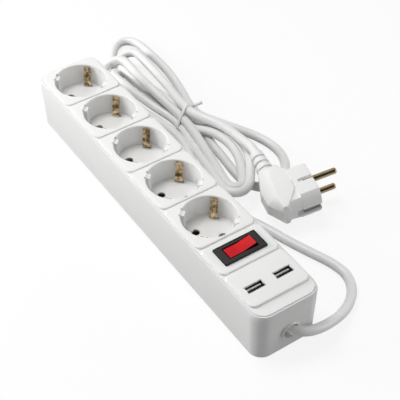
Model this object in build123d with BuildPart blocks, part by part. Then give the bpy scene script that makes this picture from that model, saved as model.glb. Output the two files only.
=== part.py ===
from build123d import *
from math import cos, pi, radians, sin, tan
import os

# A five-way earthed socket strip with a rocker switch, two USB-A ports, a mains cord tied in a hank
# and an angled plug. Millimetres. The origin is the middle of the underside, +X runs to the end that
# the cord leaves, +Y to the side where the hank lies, +Z is up.

# Socket wells
socket_count = 5
well_diameter = 39.6
well_depth = 18.0
well_wall = 1.25
well_floor = 1.6
well_lip = 0.5
pin_diameter = 4.8
pin_length = 19.0
pin_spacing = 19.0
pin_line_angle = 45.0
pin_hole_clearance = 0.5
guide_rib_width = 5.0
guide_rib_depth = 2.6
guide_rib_drop = 1.0
rib_pocket_width = 1.2
rib_pocket_depth = 1.1
rib_pocket_drop = 5.0

# Pads on the deck
pad_gap = 1.0
pad_rise = 1.7
pad_corner = 4.5
pad_edge = 0.8
pad_border = 0.6
switch_pad_length = 26.7
usb_pad_length = 31.6
far_border = 4.4
near_border = 11.3

# Cover deck
deck_thickness = 2.4
deck_rise = 0.6
deck_edge = 0.4
rung_width = 2.0
rail_width = 2.85
window_corner = 3.0
insert_clearance = 0.15
collar_drop = 1.6
snap_length = 12.0
snap_depth = 0.7
snap_height = 1.1
seam_gap = 0.25

# Base tray
tray_wall = 2.6
tray_floor = 2.2
rim_wall = 0.8
rim_bevel = 0.9
rim_bevel_height = 2.4
wall_draft = 1.1
corner_radius = 11.0
base_edge = 0.6
rib_thickness = 2.4
rib_rise = 8.0

# Screws that hold the cover down
post_diameter = 7.0
post_clearance = 0.4
post_web = 1.2
boss_wall = 1.3
boss_height = 9.0
screw_diameter = 2.9
screw_length = 14.0
screw_clearance = 0.05
screw_head_diameter = 5.6
screw_head_height = 2.0
screw_head_recess = 1.0
screw_head_clearance = 0.4
end_post_inset = 8.0

# Bus bars, pin contacts and earth clips
bar_thickness = 0.8
bar_height = 8.0
bar_clearance = 2.9
bar_slot_clearance = 0.1
pin_end_gap = 0.8
contact_length = 8.0
contact_rise = 14.0
contact_squeeze = 0.35
bar_overhang = 8.0
clip_width = 5.4
clip_thickness = 0.7
clip_standoff = 0.25
clip_top_drop = 1.6
clip_lean = 0.5
clip_apex_drop = 12.5
clip_apex_inset = 3.9
clip_foot_inset = 3.5
clip_slot_clearance = 0.7
earth_bar_width = 6.0
earth_bar_notch = 0.6

# Switch
rocker_width = 9.8
rocker_radius = 11.4
rocker_gap = 0.3
rocker_throw = 12.0
rocker_valley = 2.6
rocker_skirt = 4.5
rocker_edge = 0.4
pivot_drop = 3.0
pivot_diameter = 2.6
pivot_reach = 1.1
pivot_clearance = 0.05
switch_wall = 1.55
switch_end_wall = 3.8
switch_depth = 21.7
switch_cavity_depth = 12.0
bezel_lip = 1.35
bezel_thickness = 1.6
bezel_corner = 0.7
bezel_edge = 0.5
plate_collar_wall = 1.3
terminal_width = 4.8
terminal_thickness = 0.8
terminal_length = 10.0
terminal_row = 6.4
terminal_spacing = 16.0
lamp_diameter = 4.0
lamp_length = 9.0
lamp_clearance = 0.05

# USB ports and their board
port_height = 5.8
port_width = 13.4
port_wall = 0.35
port_depth = 14.0
port_spacing = 22.6
port_shift = 2.0
port_recess = 0.3
port_clearance = 0.15
tongue_thickness = 1.9
tongue_margin = 1.1
tongue_shift = 0.9
tongue_recess = 1.6
tongue_root = 4.0
board_thickness = 1.6
board_margin = 0.5
board_post_diameter = 4.4
board_post_inset = 2.6
transformer_length = 11.0
transformer_width = 12.0
transformer_height = 8.6
coil_diameter = 9.0
coil_reach = 1.2
capacitor_diameter = 6.3
capacitor_height = 9.0
component_inset = 8.05

# Surge board
surge_board_length = 26.0
surge_board_inset = 35.6
surge_board_width = 38.0
surge_board_lift = 2.8
standoff_diameter = 5.0
standoff_inset = 3.4
varistor_count = 3
varistor_diameter = 9.0
varistor_thickness = 4.0
varistor_pitch = 7.0
varistor_row = 12.0
lead_diameter = 0.8
lead_length = 1.4
lead_spacing = 5.0
fuse_diameter = 3.6
fuse_length = 9.0
fuse_row = 11.0

# Cord, its exit, clamp and wires
cord_diameter = 7.2
exit_height = 17.5
cord_end_inset = 20.5
floor_gap = 0.1
bend_share = 0.45
lead_straight = 8.0
bushing_bore_clearance = 0.4
bushing_wall = 1.9
bushing_flange = 1.0
bushing_flange_thickness = 1.5
bushing_flare = 2.1
bushing_ring_thickness = 1.8
bushing_seat = 0.05
clamp_length = 8.0
clamp_inset = 11.5
clamp_side_gap = 0.1
clamp_thickness = 3.0
clamp_gap = 0.4
clamp_arch = 2.0
clamp_screw_margin = 0.4
clamp_screw_length = 10.0
clamp_bore_clearance = 0.1
wire_diameter = 2.0
wire_bend = 2.6
wire_gap = 0.05

# Hank of cord and its tie
hank_base = 1.0
hank_height = 12.6
hank_edge = 4.5
far_turn = (-184.0, 77.5)
far_turn_radius = 13.0
strip_turn = (-173.0, 52.5)
strip_turn_radius = 11.0
strip_bulge = (-110.0, 56.0)
strip_bulge_radius = 8.5
waist = (-76.0, 69.5)
waist_radius = 12.0
near_turn = (5.0, 59.0)
near_turn_radius = 14.5
side_turn = (-25.0, 78.0)
side_turn_radius = 14.5
eye_middle = (-25.0, 66.5)
eye_length = 46.0
eye_width = 12.0
eye_angle = -10.0
tie_width = 3.2
tie_thickness = 0.7
tie_gap = 0.15
tie_slack = 1.7
tie_offset = 0.4
tie_angle = 18.0
tie_corner = 4.0
tie_tail_length = 10.0
tie_tail_direction = (0.25, 0.95, 0.1)
tie_tail_diameter = 2.6

# Plug
plug_face = (53.0, 92.1, 19.6)
plug_pin_direction = (0.22, 0.967, 0.128)
plug_cord_direction = (-0.97, 0.203, 0.136)
plug_front_diameter = 36.5
plug_front_depth = 14.0
plug_front_edge = 1.0
plug_flat_height = 14.0
plug_back_depth = 28.0
plug_back_inset = 0.3
plug_groove_width = 3.0
plug_groove_depth = 1.6
plug_groove_length = 10.0
plug_block_half_height = 12.6
plug_block_edge = 2.4
plug_block_lap = 1.0
plug_shoulder_height = 7.0
plug_panel_rise = 0.7
plug_panel_edge = 0.8
plug_cord_setback = 25.0
relief_start = 21.0
relief_end = 45.0
relief_root_diameter = 14.0
relief_tip_diameter = 9.6
relief_groove_count = 3
relief_groove_width = 2.2
relief_groove_depth = 1.5
plug_pin_root = 8.0
plug_pin_shank = 0.5
plug_pin_clearance = 0.03
plug_pin_tip = 1.6
earth_slot_width = 6.2
earth_slot_depth = 2.6
earth_slot_length = 19.5
earth_strip_width = 5.0
earth_strip_thickness = 0.8

# Sizes that follow from those above
cup_diameter = well_diameter + 2 * well_wall
collar_size = cup_diameter
window_size = collar_size + 2 * insert_clearance
socket_pitch = window_size + rung_width
pad_length = socket_pitch - pad_gap
deck_width = window_size + 2 * rail_width
pad_width = deck_width - 2 * pad_border
rim_inset = rim_wall + rim_bevel
strip_width = deck_width + 2 * (seam_gap + rim_inset)
row_length = socket_count * socket_pitch + switch_pad_length + pad_gap + usb_pad_length
strip_length = far_border + row_length + near_border
deck_length = strip_length - 2 * (seam_gap + rim_inset)
far_end = -strip_length / 2
near_end = strip_length / 2

bar_bottom = tray_floor + bar_clearance
well_bottom = bar_bottom + bar_thickness + pin_end_gap + pin_length
cup_bottom = well_bottom - well_floor
pad_top = well_bottom + well_depth
deck_top = pad_top - pad_rise
deck_bottom = deck_top - deck_thickness
collar_bottom = deck_bottom - collar_drop
tray_height = deck_top - deck_rise
bevel_start = tray_height - rim_bevel_height

socket_xs = [far_end + far_border + pad_length / 2 + i * socket_pitch for i in range(socket_count)]
switch_pad_start = far_end + far_border + socket_count * socket_pitch
switch_x = switch_pad_start + switch_pad_length / 2
usb_x = switch_pad_start + switch_pad_length + pad_gap + usb_pad_length / 2
port_x = usb_x + port_shift

well_radius = well_diameter / 2
pin_offset = pin_spacing / 2 * cos(radians(pin_line_angle))
post_y = window_size / 2 - post_diameter / 2 - post_clearance - snap_depth
post_rungs = [socket_xs[i] + socket_pitch / 2 for i in (0, socket_count - 2)]
end_post_x = near_end - end_post_inset
post_spots = [(x, side * post_y) for x in post_rungs + [end_post_x] for side in (-1, 1)]
rib_xs = [x + socket_pitch / 2 for x in socket_xs[:-1]]
boss_diameter = screw_head_diameter + 2 * screw_head_clearance + 2 * boss_wall

# The pin contacts are folded from the edge of each bar, so the bar is their inner leaf
leaf_gap = pin_diameter - 2 * contact_squeeze + bar_thickness
bar_y = pin_offset - leaf_gap / 2 - bar_thickness / 2
bar_start = socket_xs[0] - pin_offset - contact_length / 2
bar_end = socket_xs[-1] + pin_offset + contact_length / 2 + bar_overhang

switch_body_width = rocker_width + 2 * rocker_gap + 2 * switch_wall
switch_body_length = 2 * (rocker_radius + rocker_gap) + 2 * switch_end_wall
bezel_top = pad_top + bezel_thickness
switch_bottom = pad_top - switch_depth
switch_cavity_bottom = bezel_top - pivot_drop - switch_cavity_depth
pivot_height = bezel_top - pivot_drop
terminal_bottom = switch_bottom - terminal_length
switch_hole_width = switch_body_width + 2 * insert_clearance
switch_hole_length = switch_body_length + 2 * insert_clearance
switch_collar_width = switch_hole_width + 2 * plate_collar_wall
switch_collar_length = switch_hole_length + 2 * plate_collar_wall

board_top = pad_top - port_recess - port_depth
board_bottom = board_top - board_thickness
usb_window_length = usb_pad_length - 2 * rung_width
usb_collar_length = usb_window_length - 2 * insert_clearance
board_length = usb_collar_length - 2 * plate_collar_wall + 2 * board_margin
board_width = collar_size - 2 * board_margin
component_offset = board_width / 2 - component_inset
board_posts = (board_length - 2 * board_post_inset - board_post_diameter / 2,
               board_width - 2 * board_post_inset)

surge_x = near_end - surge_board_inset
surge_bottom = tray_floor + surge_board_lift
surge_top = surge_bottom + board_thickness
standoffs = (surge_board_length - 2 * standoff_inset, surge_board_width - 2 * standoff_inset)

cord_radius = cord_diameter / 2
cord_end_x = near_end - cord_end_inset
clamp_x = near_end - clamp_inset
clamp_block_top = exit_height - clamp_gap
clamp_bar_bottom = exit_height + clamp_gap
clamp_bore = cord_radius + clamp_bore_clearance
clamp_span = 2 * (post_y - post_diameter / 2 - clamp_side_gap)
clamp_screw_spacing = clamp_span - screw_head_diameter - 2 * clamp_screw_margin
screw_hole = screw_diameter / 2 + screw_clearance
bushing_bore = cord_radius + bushing_bore_clearance
bushing_neck = bushing_bore + bushing_wall
bushing_rim = bushing_neck + bushing_flange


def wall_face(height):
    """The near wall's outer face, along X, at a height."""
    return near_end - wall_draft * (1 - height / bevel_start)


def save(builder, name):
    """Label a finished piece and write its STEP file."""
    builder.part.label = name
    export_step(builder.part, f"parts/{name}.step")


os.makedirs("parts", exist_ok=True)

# Base tray: drafted walls with a bevelled rim and a ledge for the deck
with BuildPart() as base_tray:
    outline = ((0, wall_draft), (bevel_start, 0), (tray_height, rim_bevel))
    for height, inset in outline:
        with BuildSketch(Plane.XY.offset(height)):
            RectangleRounded(strip_length - 2 * inset, strip_width - 2 * inset, corner_radius - inset)
    loft(ruled=True)
    chamfer(base_tray.faces().sort_by(Axis.Z)[0].edges(), base_edge)
    for height, inset in ((tray_floor, wall_draft + tray_wall), (deck_bottom, tray_wall)):
        with BuildSketch(Plane.XY.offset(height)):
            RectangleRounded(strip_length - 2 * inset, strip_width - 2 * inset, corner_radius - inset)
    loft(ruled=True, mode=Mode.SUBTRACT)
    with BuildSketch(Plane.XY.offset(deck_bottom)):
        RectangleRounded(strip_length - 2 * rim_inset, strip_width - 2 * rim_inset, corner_radius - rim_inset)
    extrude(amount=tray_height - deck_bottom, mode=Mode.SUBTRACT)
    # Cross ribs that carry the bars, slotted from above, with a notch for the earth bar
    with BuildSketch(Plane.XY.offset(tray_floor)):
        with Locations([(x, 0) for x in rib_xs]):
            Rectangle(rib_thickness, 2 * (bar_y + bar_thickness + rib_thickness))
    extrude(amount=bar_bottom + rib_rise - tray_floor)
    with BuildSketch(Plane.XY.offset(bar_bottom)):
        with Locations([(x, side * bar_y) for x in rib_xs for side in (-1, 1)]):
            Rectangle(2 * rib_thickness, bar_thickness + 2 * bar_slot_clearance)
    extrude(amount=rib_rise, mode=Mode.SUBTRACT)
    with BuildSketch(Plane.XY.offset(tray_floor)):
        with Locations([(x, 0) for x in rib_xs]):
            Rectangle(2 * rib_thickness, earth_bar_width + 2 * earth_bar_notch)
    extrude(amount=bar_thickness + earth_bar_notch, mode=Mode.SUBTRACT)
    # Screw bosses, with the heads sunk from below
    with BuildSketch(Plane.XY.offset(tray_floor)):
        with Locations(post_spots):
            Circle(boss_diameter / 2)
    extrude(amount=boss_height - tray_floor)
    with BuildSketch():
        with Locations(post_spots):
            Circle(screw_head_diameter / 2 + screw_head_clearance)
    extrude(amount=screw_head_recess + screw_head_height, mode=Mode.SUBTRACT)
    with BuildSketch():
        with Locations(post_spots):
            Circle(screw_hole + screw_head_clearance / 2)
    extrude(amount=boss_height, mode=Mode.SUBTRACT)
    # Standoffs for the surge board
    with BuildSketch(Plane.XY.offset(tray_floor)):
        with Locations((surge_x, 0)):
            with GridLocations(standoffs[0], standoffs[1], 2, 2):
                Circle(standoff_diameter / 2)
    extrude(amount=surge_board_lift)
    # Lower half of the cord clamp
    with BuildSketch(Plane.XY.offset(tray_floor)):
        with Locations((clamp_x, 0)):
            Rectangle(clamp_length, clamp_span)
    extrude(amount=clamp_block_top - tray_floor)
    with BuildSketch(Plane.YZ.offset(clamp_x)):
        with Locations((0, exit_height)):
            Circle(clamp_bore)
    extrude(amount=clamp_length, both=True, mode=Mode.SUBTRACT)
    with BuildSketch(Plane.XY.offset(clamp_block_top)):
        with Locations((clamp_x, 0)):
            with GridLocations(0, clamp_screw_spacing, 1, 2):
                Circle(screw_hole)
    extrude(amount=-clamp_screw_length, mode=Mode.SUBTRACT)
    # Hole for the cord bushing
    with BuildSketch(Plane.YZ.offset(near_end)):
        with Locations((0, exit_height)):
            Circle(bushing_neck + bushing_seat)
    extrude(amount=-(wall_draft + 2 * tray_wall), mode=Mode.SUBTRACT)
save(base_tray, "base_tray")

# Top cover: a deck with a window for each pad, narrow rungs between them and the screw posts below
with BuildPart() as top_cover:
    with BuildSketch(Plane.XY.offset(deck_bottom)):
        RectangleRounded(deck_length, deck_width, corner_radius - rim_inset - seam_gap)
    extrude(amount=deck_thickness)
    chamfer(top_cover.faces().sort_by(Axis.Z)[-1].edges(), deck_edge)
    with BuildSketch(Plane.XY.offset(deck_bottom)):
        with Locations([(x, 0) for x in socket_xs]):
            RectangleRounded(window_size, window_size, window_corner)
        with Locations((switch_x, 0)):
            RectangleRounded(switch_collar_width + 2 * insert_clearance,
                             switch_collar_length + 2 * insert_clearance, window_corner)
        with Locations((usb_x, 0)):
            RectangleRounded(usb_window_length, window_size, window_corner)
    extrude(amount=deck_thickness, mode=Mode.SUBTRACT)
    with BuildSketch(Plane.XY.offset(boss_height)):
        with Locations(post_spots):
            Circle(post_diameter / 2)
    extrude(amount=collar_bottom - post_clearance - boss_height)
    with BuildSketch(Plane.XY.offset(collar_bottom - 2 * post_clearance)):
        with Locations(post_spots):
            Rectangle(post_web, post_diameter)
    extrude(amount=deck_bottom - collar_bottom + 2 * post_clearance)
    with BuildSketch(Plane.XY.offset(boss_height)):
        with Locations(post_spots):
            Circle(screw_hole)
    extrude(amount=screw_length, mode=Mode.SUBTRACT)
save(top_cover, "top_cover")

# Socket inserts: a raised pad, a collar that snaps into the deck and the well below it
for number, socket_x in enumerate(socket_xs, 1):
    with BuildPart() as socket_insert:
        with BuildSketch(Plane.XY.offset(deck_top)):
            with Locations((socket_x, 0)):
                RectangleRounded(pad_length, pad_width, pad_corner)
        extrude(amount=pad_rise)
        fillet(socket_insert.faces().sort_by(Axis.Z)[-1].edges(), pad_edge)
        with BuildSketch(Plane.XY.offset(collar_bottom)):
            with Locations((socket_x, 0)):
                RectangleRounded(collar_size, collar_size, window_corner)
        extrude(amount=deck_top - collar_bottom)
        with BuildSketch(Plane.XY.offset(deck_bottom - insert_clearance)):
            with Locations((socket_x, 0)):
                Rectangle(snap_length, collar_size + 2 * snap_depth)
        extrude(amount=-snap_height, taper=0)
        with BuildSketch(Plane.XY.offset(cup_bottom)):
            with Locations((socket_x, 0)):
                Circle(cup_diameter / 2)
        extrude(amount=collar_bottom - cup_bottom)
        with BuildSketch(Plane.XY.offset(well_bottom)):
            with Locations((socket_x, 0)):
                Circle(well_radius)
        extrude(amount=well_depth, mode=Mode.SUBTRACT)
        rims = socket_insert.edges().filter_by(GeomType.CIRCLE).group_by(Axis.Z)[-1]
        chamfer(rims.filter_by(lambda edge: edge.radius > pad_corner), well_lip)
        with BuildSketch(Plane.XY.offset(well_bottom)):
            with Locations((socket_x, 0)):
                with PolarLocations(well_radius - guide_rib_depth, 2, pin_line_angle):
                    Rectangle(guide_rib_depth + well_wall / 2, guide_rib_width, align=(Align.MIN, Align.CENTER))
        extrude(amount=well_depth - guide_rib_drop)
        with BuildSketch(Plane.XY.offset(pad_top - rib_pocket_drop)):
            with Locations((socket_x, 0)):
                with PolarLocations(well_radius - rib_pocket_depth, 2, pin_line_angle):
                    with GridLocations(0, guide_rib_width + rib_pocket_width, 1, 2):
                        Rectangle(2 * rib_pocket_depth, rib_pocket_width, align=(Align.MIN, Align.CENTER))
        extrude(amount=rib_pocket_drop, mode=Mode.SUBTRACT)
        with BuildSketch(Plane.XY.offset(cup_bottom)):
            with Locations((socket_x, 0)):
                with PolarLocations(pin_spacing / 2, 2, pin_line_angle):
                    Circle(pin_diameter / 2 + pin_hole_clearance)
                with PolarLocations(well_radius - clip_foot_inset, 2, pin_line_angle + 90):
                    Rectangle(clip_thickness + 2 * clip_slot_clearance, clip_width + 2 * clip_slot_clearance)
        extrude(amount=well_floor, mode=Mode.SUBTRACT)
    save(socket_insert, f"socket_insert_{number}")

# Switch plate: the pad that the rocker switch snaps into
with BuildPart() as switch_plate:
    with BuildSketch(Plane.XY.offset(deck_top)):
        with Locations((switch_x, 0)):
            RectangleRounded(switch_pad_length, pad_width, pad_corner)
    extrude(amount=pad_rise)
    fillet(switch_plate.faces().sort_by(Axis.Z)[-1].edges(), pad_edge)
    with BuildSketch(Plane.XY.offset(deck_bottom)):
        with Locations((switch_x, 0)):
            RectangleRounded(switch_collar_width, switch_collar_length, window_corner)
    extrude(amount=deck_thickness)
    with BuildSketch(Plane.XY.offset(deck_bottom)):
        with Locations((switch_x, 0)):
            Rectangle(switch_hole_width, switch_hole_length)
    extrude(amount=deck_thickness + pad_rise, mode=Mode.SUBTRACT)
save(switch_plate, "switch_plate")

# USB plate: the pad with the two port openings and the posts that carry the board
with BuildPart() as usb_plate:
    with BuildSketch(Plane.XY.offset(deck_top)):
        with Locations((usb_x, 0)):
            RectangleRounded(usb_pad_length, pad_width, pad_corner)
    extrude(amount=pad_rise)
    fillet(usb_plate.faces().sort_by(Axis.Z)[-1].edges(), pad_edge)
    with BuildSketch(Plane.XY.offset(deck_bottom)):
        with Locations((usb_x, 0)):
            RectangleRounded(usb_collar_length, collar_size, window_corner)
            Rectangle(usb_collar_length - 2 * plate_collar_wall, collar_size - 2 * plate_collar_wall,
                      mode=Mode.SUBTRACT)
    extrude(amount=deck_thickness)
    with BuildSketch(Plane.XY.offset(board_top)):
        with Locations((usb_x, 0)):
            with GridLocations(board_posts[0], board_posts[1], 2, 2):
                Circle(board_post_diameter / 2)
    extrude(amount=deck_top - board_top)
    with BuildSketch(Plane.XY.offset(deck_top)):
        with Locations((port_x, 0)):
            with GridLocations(0, port_spacing, 1, 2):
                Rectangle(port_height + 2 * port_clearance, port_width + 2 * port_clearance)
    extrude(amount=pad_rise, mode=Mode.SUBTRACT)
save(usb_plate, "usb_plate")

# Line and neutral bars, one under each row of pin holes, with a U-shaped contact under each hole
for bar_name, side in (("line_bus_bar", -1), ("neutral_bus_bar", 1)):
    contact_spots = [(x + side * pin_offset, side * pin_offset) for x in socket_xs]
    with BuildPart() as bus_bar:
        with BuildSketch(Plane.XY.offset(bar_bottom)):
            with Locations(((bar_start + bar_end) / 2, side * bar_y)):
                Rectangle(bar_end - bar_start, bar_thickness)
        extrude(amount=bar_height)
        with BuildSketch(Plane.XY.offset(bar_bottom)):
            with Locations(contact_spots):
                Rectangle(contact_length, leaf_gap + 2 * bar_thickness)
        extrude(amount=contact_rise)
        with BuildSketch(Plane.XY.offset(bar_bottom + bar_thickness)):
            with Locations(contact_spots):
                Rectangle(contact_length, leaf_gap)
        extrude(amount=contact_rise, mode=Mode.SUBTRACT)
    save(bus_bar, bar_name)

# Earth bar: a strip on the tray floor with a sprung clip on each side of every well
with BuildPart() as earth_bus_bar:
    with BuildSketch(Plane.XY.offset(tray_floor)):
        with Locations(((bar_start + bar_end) / 2, 0)):
            Rectangle(bar_end - bar_start, earth_bar_width)
    extrude(amount=bar_thickness)
    clip_top = (well_radius - clip_standoff - clip_thickness, pad_top - clip_top_drop)
    clip_bend = (clip_top[0] - clip_lean, pad_top - clip_apex_drop / 2)
    clip_apex = (well_radius - clip_apex_inset - clip_thickness / 2, pad_top - clip_apex_drop)
    clip_foot = (well_radius - clip_foot_inset - clip_thickness / 2, well_bottom)
    arm_corner = (clip_foot[0], tray_floor)
    for socket_x in socket_xs:
        for turn in (90, 270):
            angle = radians(pin_line_angle + turn)
            clip_plane = Plane(origin=(socket_x, 0, 0), x_dir=(cos(angle), sin(angle), 0),
                               z_dir=(sin(angle), -cos(angle), 0))
            with BuildSketch(clip_plane):
                with BuildLine():
                    inner_line = Polyline((0, tray_floor), arm_corner, clip_foot, clip_apex, clip_bend,
                                          clip_top)
                    offset(inner_line, amount=clip_thickness, side=Side.LEFT)
                make_face()
            extrude(amount=clip_width / 2, both=True)
save(earth_bus_bar, "earth_bus_bar")

# Switch housing: the bezel, the body below it and the well that the rocker tips in
rocker_plane = Plane(origin=(switch_x, 0, pivot_height), x_dir=(0, 1, 0), z_dir=(1, 0, 0))
with BuildPart() as switch_housing:
    with BuildSketch(Plane.XY.offset(switch_bottom)):
        with Locations((switch_x, 0)):
            Rectangle(switch_body_width, switch_body_length)
    extrude(amount=switch_depth)
    with BuildSketch(Plane.XY.offset(pad_top)):
        with Locations((switch_x, 0)):
            RectangleRounded(switch_body_width + 2 * bezel_lip, switch_body_length + 2 * bezel_lip,
                             bezel_corner)
    extrude(amount=bezel_thickness)
    fillet(switch_housing.faces().sort_by(Axis.Z)[-1].edges(), bezel_edge)
    with BuildSketch(Plane.XY.offset(switch_cavity_bottom)):
        with Locations((switch_x, 0)):
            Rectangle(rocker_width + 2 * rocker_gap, 2 * (rocker_radius + rocker_gap))
    extrude(amount=bezel_top - switch_cavity_bottom, mode=Mode.SUBTRACT)
    with BuildSketch(rocker_plane):
        Circle(pivot_diameter / 2 + pivot_clearance)
    extrude(amount=rocker_width / 2 + rocker_gap + pivot_reach, both=True, mode=Mode.SUBTRACT)
save(switch_housing, "switch_housing")

# Rocker: round ends about its cross pins and a shallow V on top, resting with its -Y end pressed
tilt = radians(rocker_throw / 2)
rocker_rest = Plane(origin=rocker_plane.origin, x_dir=(0, cos(tilt), sin(tilt)), z_dir=(1, 0, 0))
with BuildPart() as switch_rocker:
    with BuildSketch(rocker_rest):
        Circle(rocker_radius)
        with BuildLine():
            wing = rocker_valley + rocker_radius * tan(tilt)
            Polyline((-rocker_radius, -rocker_skirt), (rocker_radius, -rocker_skirt), (rocker_radius, wing),
                     (0, rocker_valley), (-rocker_radius, wing), close=True)
        make_face(mode=Mode.INTERSECT)
    extrude(amount=rocker_width / 2, both=True)
    top_edges = switch_rocker.edges().filter_by(Axis.X).sort_by(Axis.Z)[-3:]
    fillet(top_edges.sort_by(Axis.Y)[::2], rocker_edge)
    with BuildSketch(rocker_rest):
        Circle(pivot_diameter / 2)
    extrude(amount=rocker_width / 2 + rocker_gap + pivot_reach - 2 * pivot_clearance, both=True)
save(switch_rocker, "switch_rocker")

with BuildPart() as switch_terminals:
    with BuildSketch(Plane.XY.offset(terminal_bottom)):
        with Locations((switch_x, 0)):
            with GridLocations(terminal_row, terminal_spacing, 2, 2):
                Rectangle(terminal_thickness, terminal_width)
    extrude(amount=terminal_length)
save(switch_terminals, "switch_terminals")

with BuildPart() as indicator_lamp:
    lamp_height = switch_cavity_bottom + lamp_diameter / 2 + lamp_clearance
    with BuildSketch(Plane(origin=(switch_x, 0, lamp_height), x_dir=(1, 0, 0), z_dir=(0, 1, 0))):
        Circle(lamp_diameter / 2)
    extrude(amount=lamp_length / 2, both=True)
    fillet(indicator_lamp.edges().sort_by(Axis.Y)[-1], lamp_diameter / 4)
save(indicator_lamp, "indicator_lamp")

# USB ports, each a folded metal shell round a moulded tongue
port_spots = [(port_x, side * port_spacing / 2) for side in (-1, 1)]
with BuildPart() as usb_shells:
    with BuildSketch(Plane.XY.offset(board_top)):
        with Locations(port_spots):
            RectangleRounded(port_height, port_width, 2 * port_wall)
            Rectangle(port_height - 2 * port_wall, port_width - 2 * port_wall, mode=Mode.SUBTRACT)
    extrude(amount=port_depth)
save(usb_shells, "usb_shells")

with BuildPart() as usb_tongues:
    inner_margin = port_wall + insert_clearance
    with BuildSketch(Plane.XY.offset(board_top)):
        with Locations(port_spots):
            Rectangle(port_height - 2 * inner_margin, port_width - 2 * inner_margin)
    extrude(amount=tongue_root)
    with BuildSketch(Plane.XY.offset(board_top)):
        with Locations([(x - tongue_shift, y) for x, y in port_spots]):
            Rectangle(tongue_thickness, port_width - 2 * tongue_margin)
    extrude(amount=port_depth - tongue_recess)
save(usb_tongues, "usb_tongues")

with BuildPart() as usb_circuit_board:
    with BuildSketch(Plane.XY.offset(board_bottom)):
        with Locations((usb_x, 0)):
            Rectangle(board_length, board_width)
    extrude(amount=board_thickness)
save(usb_circuit_board, "usb_circuit_board")

with BuildPart() as usb_transformer:
    with BuildSketch(Plane.XY.offset(board_bottom)):
        with Locations((usb_x, -component_offset)):
            Rectangle(transformer_length, transformer_width)
    extrude(amount=-transformer_height)
    with BuildSketch(Plane.XZ.offset(component_offset)):
        with Locations((usb_x, board_bottom - transformer_height / 2)):
            Circle(min(coil_diameter, transformer_height) / 2)
    extrude(amount=transformer_width / 2 + coil_reach, both=True)
save(usb_transformer, "usb_transformer")

with BuildPart() as usb_capacitors:
    with BuildSketch(Plane.XY.offset(board_bottom)):
        with Locations((usb_x, component_offset)):
            with GridLocations(capacitor_diameter + pad_gap, 0, 2, 1):
                Circle(capacitor_diameter / 2)
    extrude(amount=-capacitor_height)
    fillet(usb_capacitors.edges().group_by(Axis.Z)[0], capacitor_diameter / 12)
save(usb_capacitors, "usb_capacitors")

# Surge board on its standoffs, with the varistors and their thermal fuse
with BuildPart() as surge_board:
    with BuildSketch(Plane.XY.offset(surge_bottom)):
        with Locations((surge_x, 0)):
            Rectangle(surge_board_length, surge_board_width)
    extrude(amount=board_thickness)
save(surge_board, "surge_board")

varistor_xs = [surge_x + (i - (varistor_count - 1) / 2) * varistor_pitch for i in range(varistor_count)]
with BuildPart() as varistors:
    disc_height = surge_top + lead_length + varistor_diameter / 2
    for x in varistor_xs:
        with BuildSketch(Plane.YZ.offset(x)):
            with Locations((-varistor_row, disc_height)):
                Circle(varistor_diameter / 2)
        extrude(amount=varistor_thickness / 2, both=True)
    with BuildSketch(Plane.XY.offset(surge_top)):
        with Locations([(x, -varistor_row) for x in varistor_xs]):
            with GridLocations(0, lead_spacing, 1, 2):
                Circle(lead_diameter / 2)
    extrude(amount=lead_length + varistor_diameter / 2)
save(varistors, "varistors")

with BuildPart() as thermal_fuse:
    with BuildSketch(Plane.YZ.offset(surge_x)):
        with Locations((fuse_row, surge_top + fuse_diameter / 2 + wire_gap)):
            Circle(fuse_diameter / 2)
    extrude(amount=fuse_length / 2, both=True)
    with BuildSketch(Plane.YZ.offset(surge_x)):
        with Locations((fuse_row, surge_top + fuse_diameter / 2 + wire_gap)):
            Circle(lead_diameter / 2)
    extrude(amount=fuse_length, both=True)
save(thermal_fuse, "thermal_fuse")

# Wires from the cord to the switch and from the switch to the bars
wire_radius = wire_diameter / 2
wire_low = terminal_bottom - 2 * wire_diameter
inlet_x = switch_x + terminal_row / 2
outlet_x = switch_x - terminal_row / 2
for wire_name, side in (("line_wires", -1), ("neutral_wires", 1)):
    terminal_y = side * terminal_spacing / 2
    inlet = ((cord_end_x - wire_gap, side * wire_diameter, exit_height),
             (cord_end_x - 4 * wire_diameter, side * wire_diameter, exit_height),
             (inlet_x + 3 * wire_diameter, terminal_y, wire_low),
             (inlet_x, terminal_y, wire_low),
             (inlet_x, terminal_y, terminal_bottom))
    outlet = ((outlet_x, terminal_y, terminal_bottom),
              (outlet_x, terminal_y, wire_low),
              (bar_end + wire_diameter, side * bar_y, wire_low),
              (bar_end, side * bar_y, wire_low))
    with BuildPart() as wires:
        for route, bends in ((inlet, wire_bend), (outlet, wire_diameter / 2)):
            with BuildLine() as path:
                FilletPolyline(*route, radius=bends)
            with BuildSketch(Plane(origin=path.line @ 0, z_dir=path.line % 0)):
                Circle(wire_radius)
            sweep()
    save(wires, wire_name)

with BuildPart() as earth_wire:
    earth_rest = tray_floor + bar_thickness + wire_radius + wire_gap
    with BuildLine() as path:
        FilletPolyline((cord_end_x - wire_gap, 0, exit_height),
                       (cord_end_x - 4 * wire_diameter, 0, exit_height),
                       (surge_x - surge_board_length / 2, 0, surge_top + 2 * wire_diameter),
                       (bar_end + 2 * wire_diameter, 0, earth_rest),
                       (bar_end - bar_overhang / 2, 0, earth_rest), radius=wire_bend)
    with BuildSketch(Plane(origin=path.line @ 0, z_dir=path.line % 0)):
        Circle(wire_radius)
    sweep()
save(earth_wire, "earth_wire")

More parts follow.
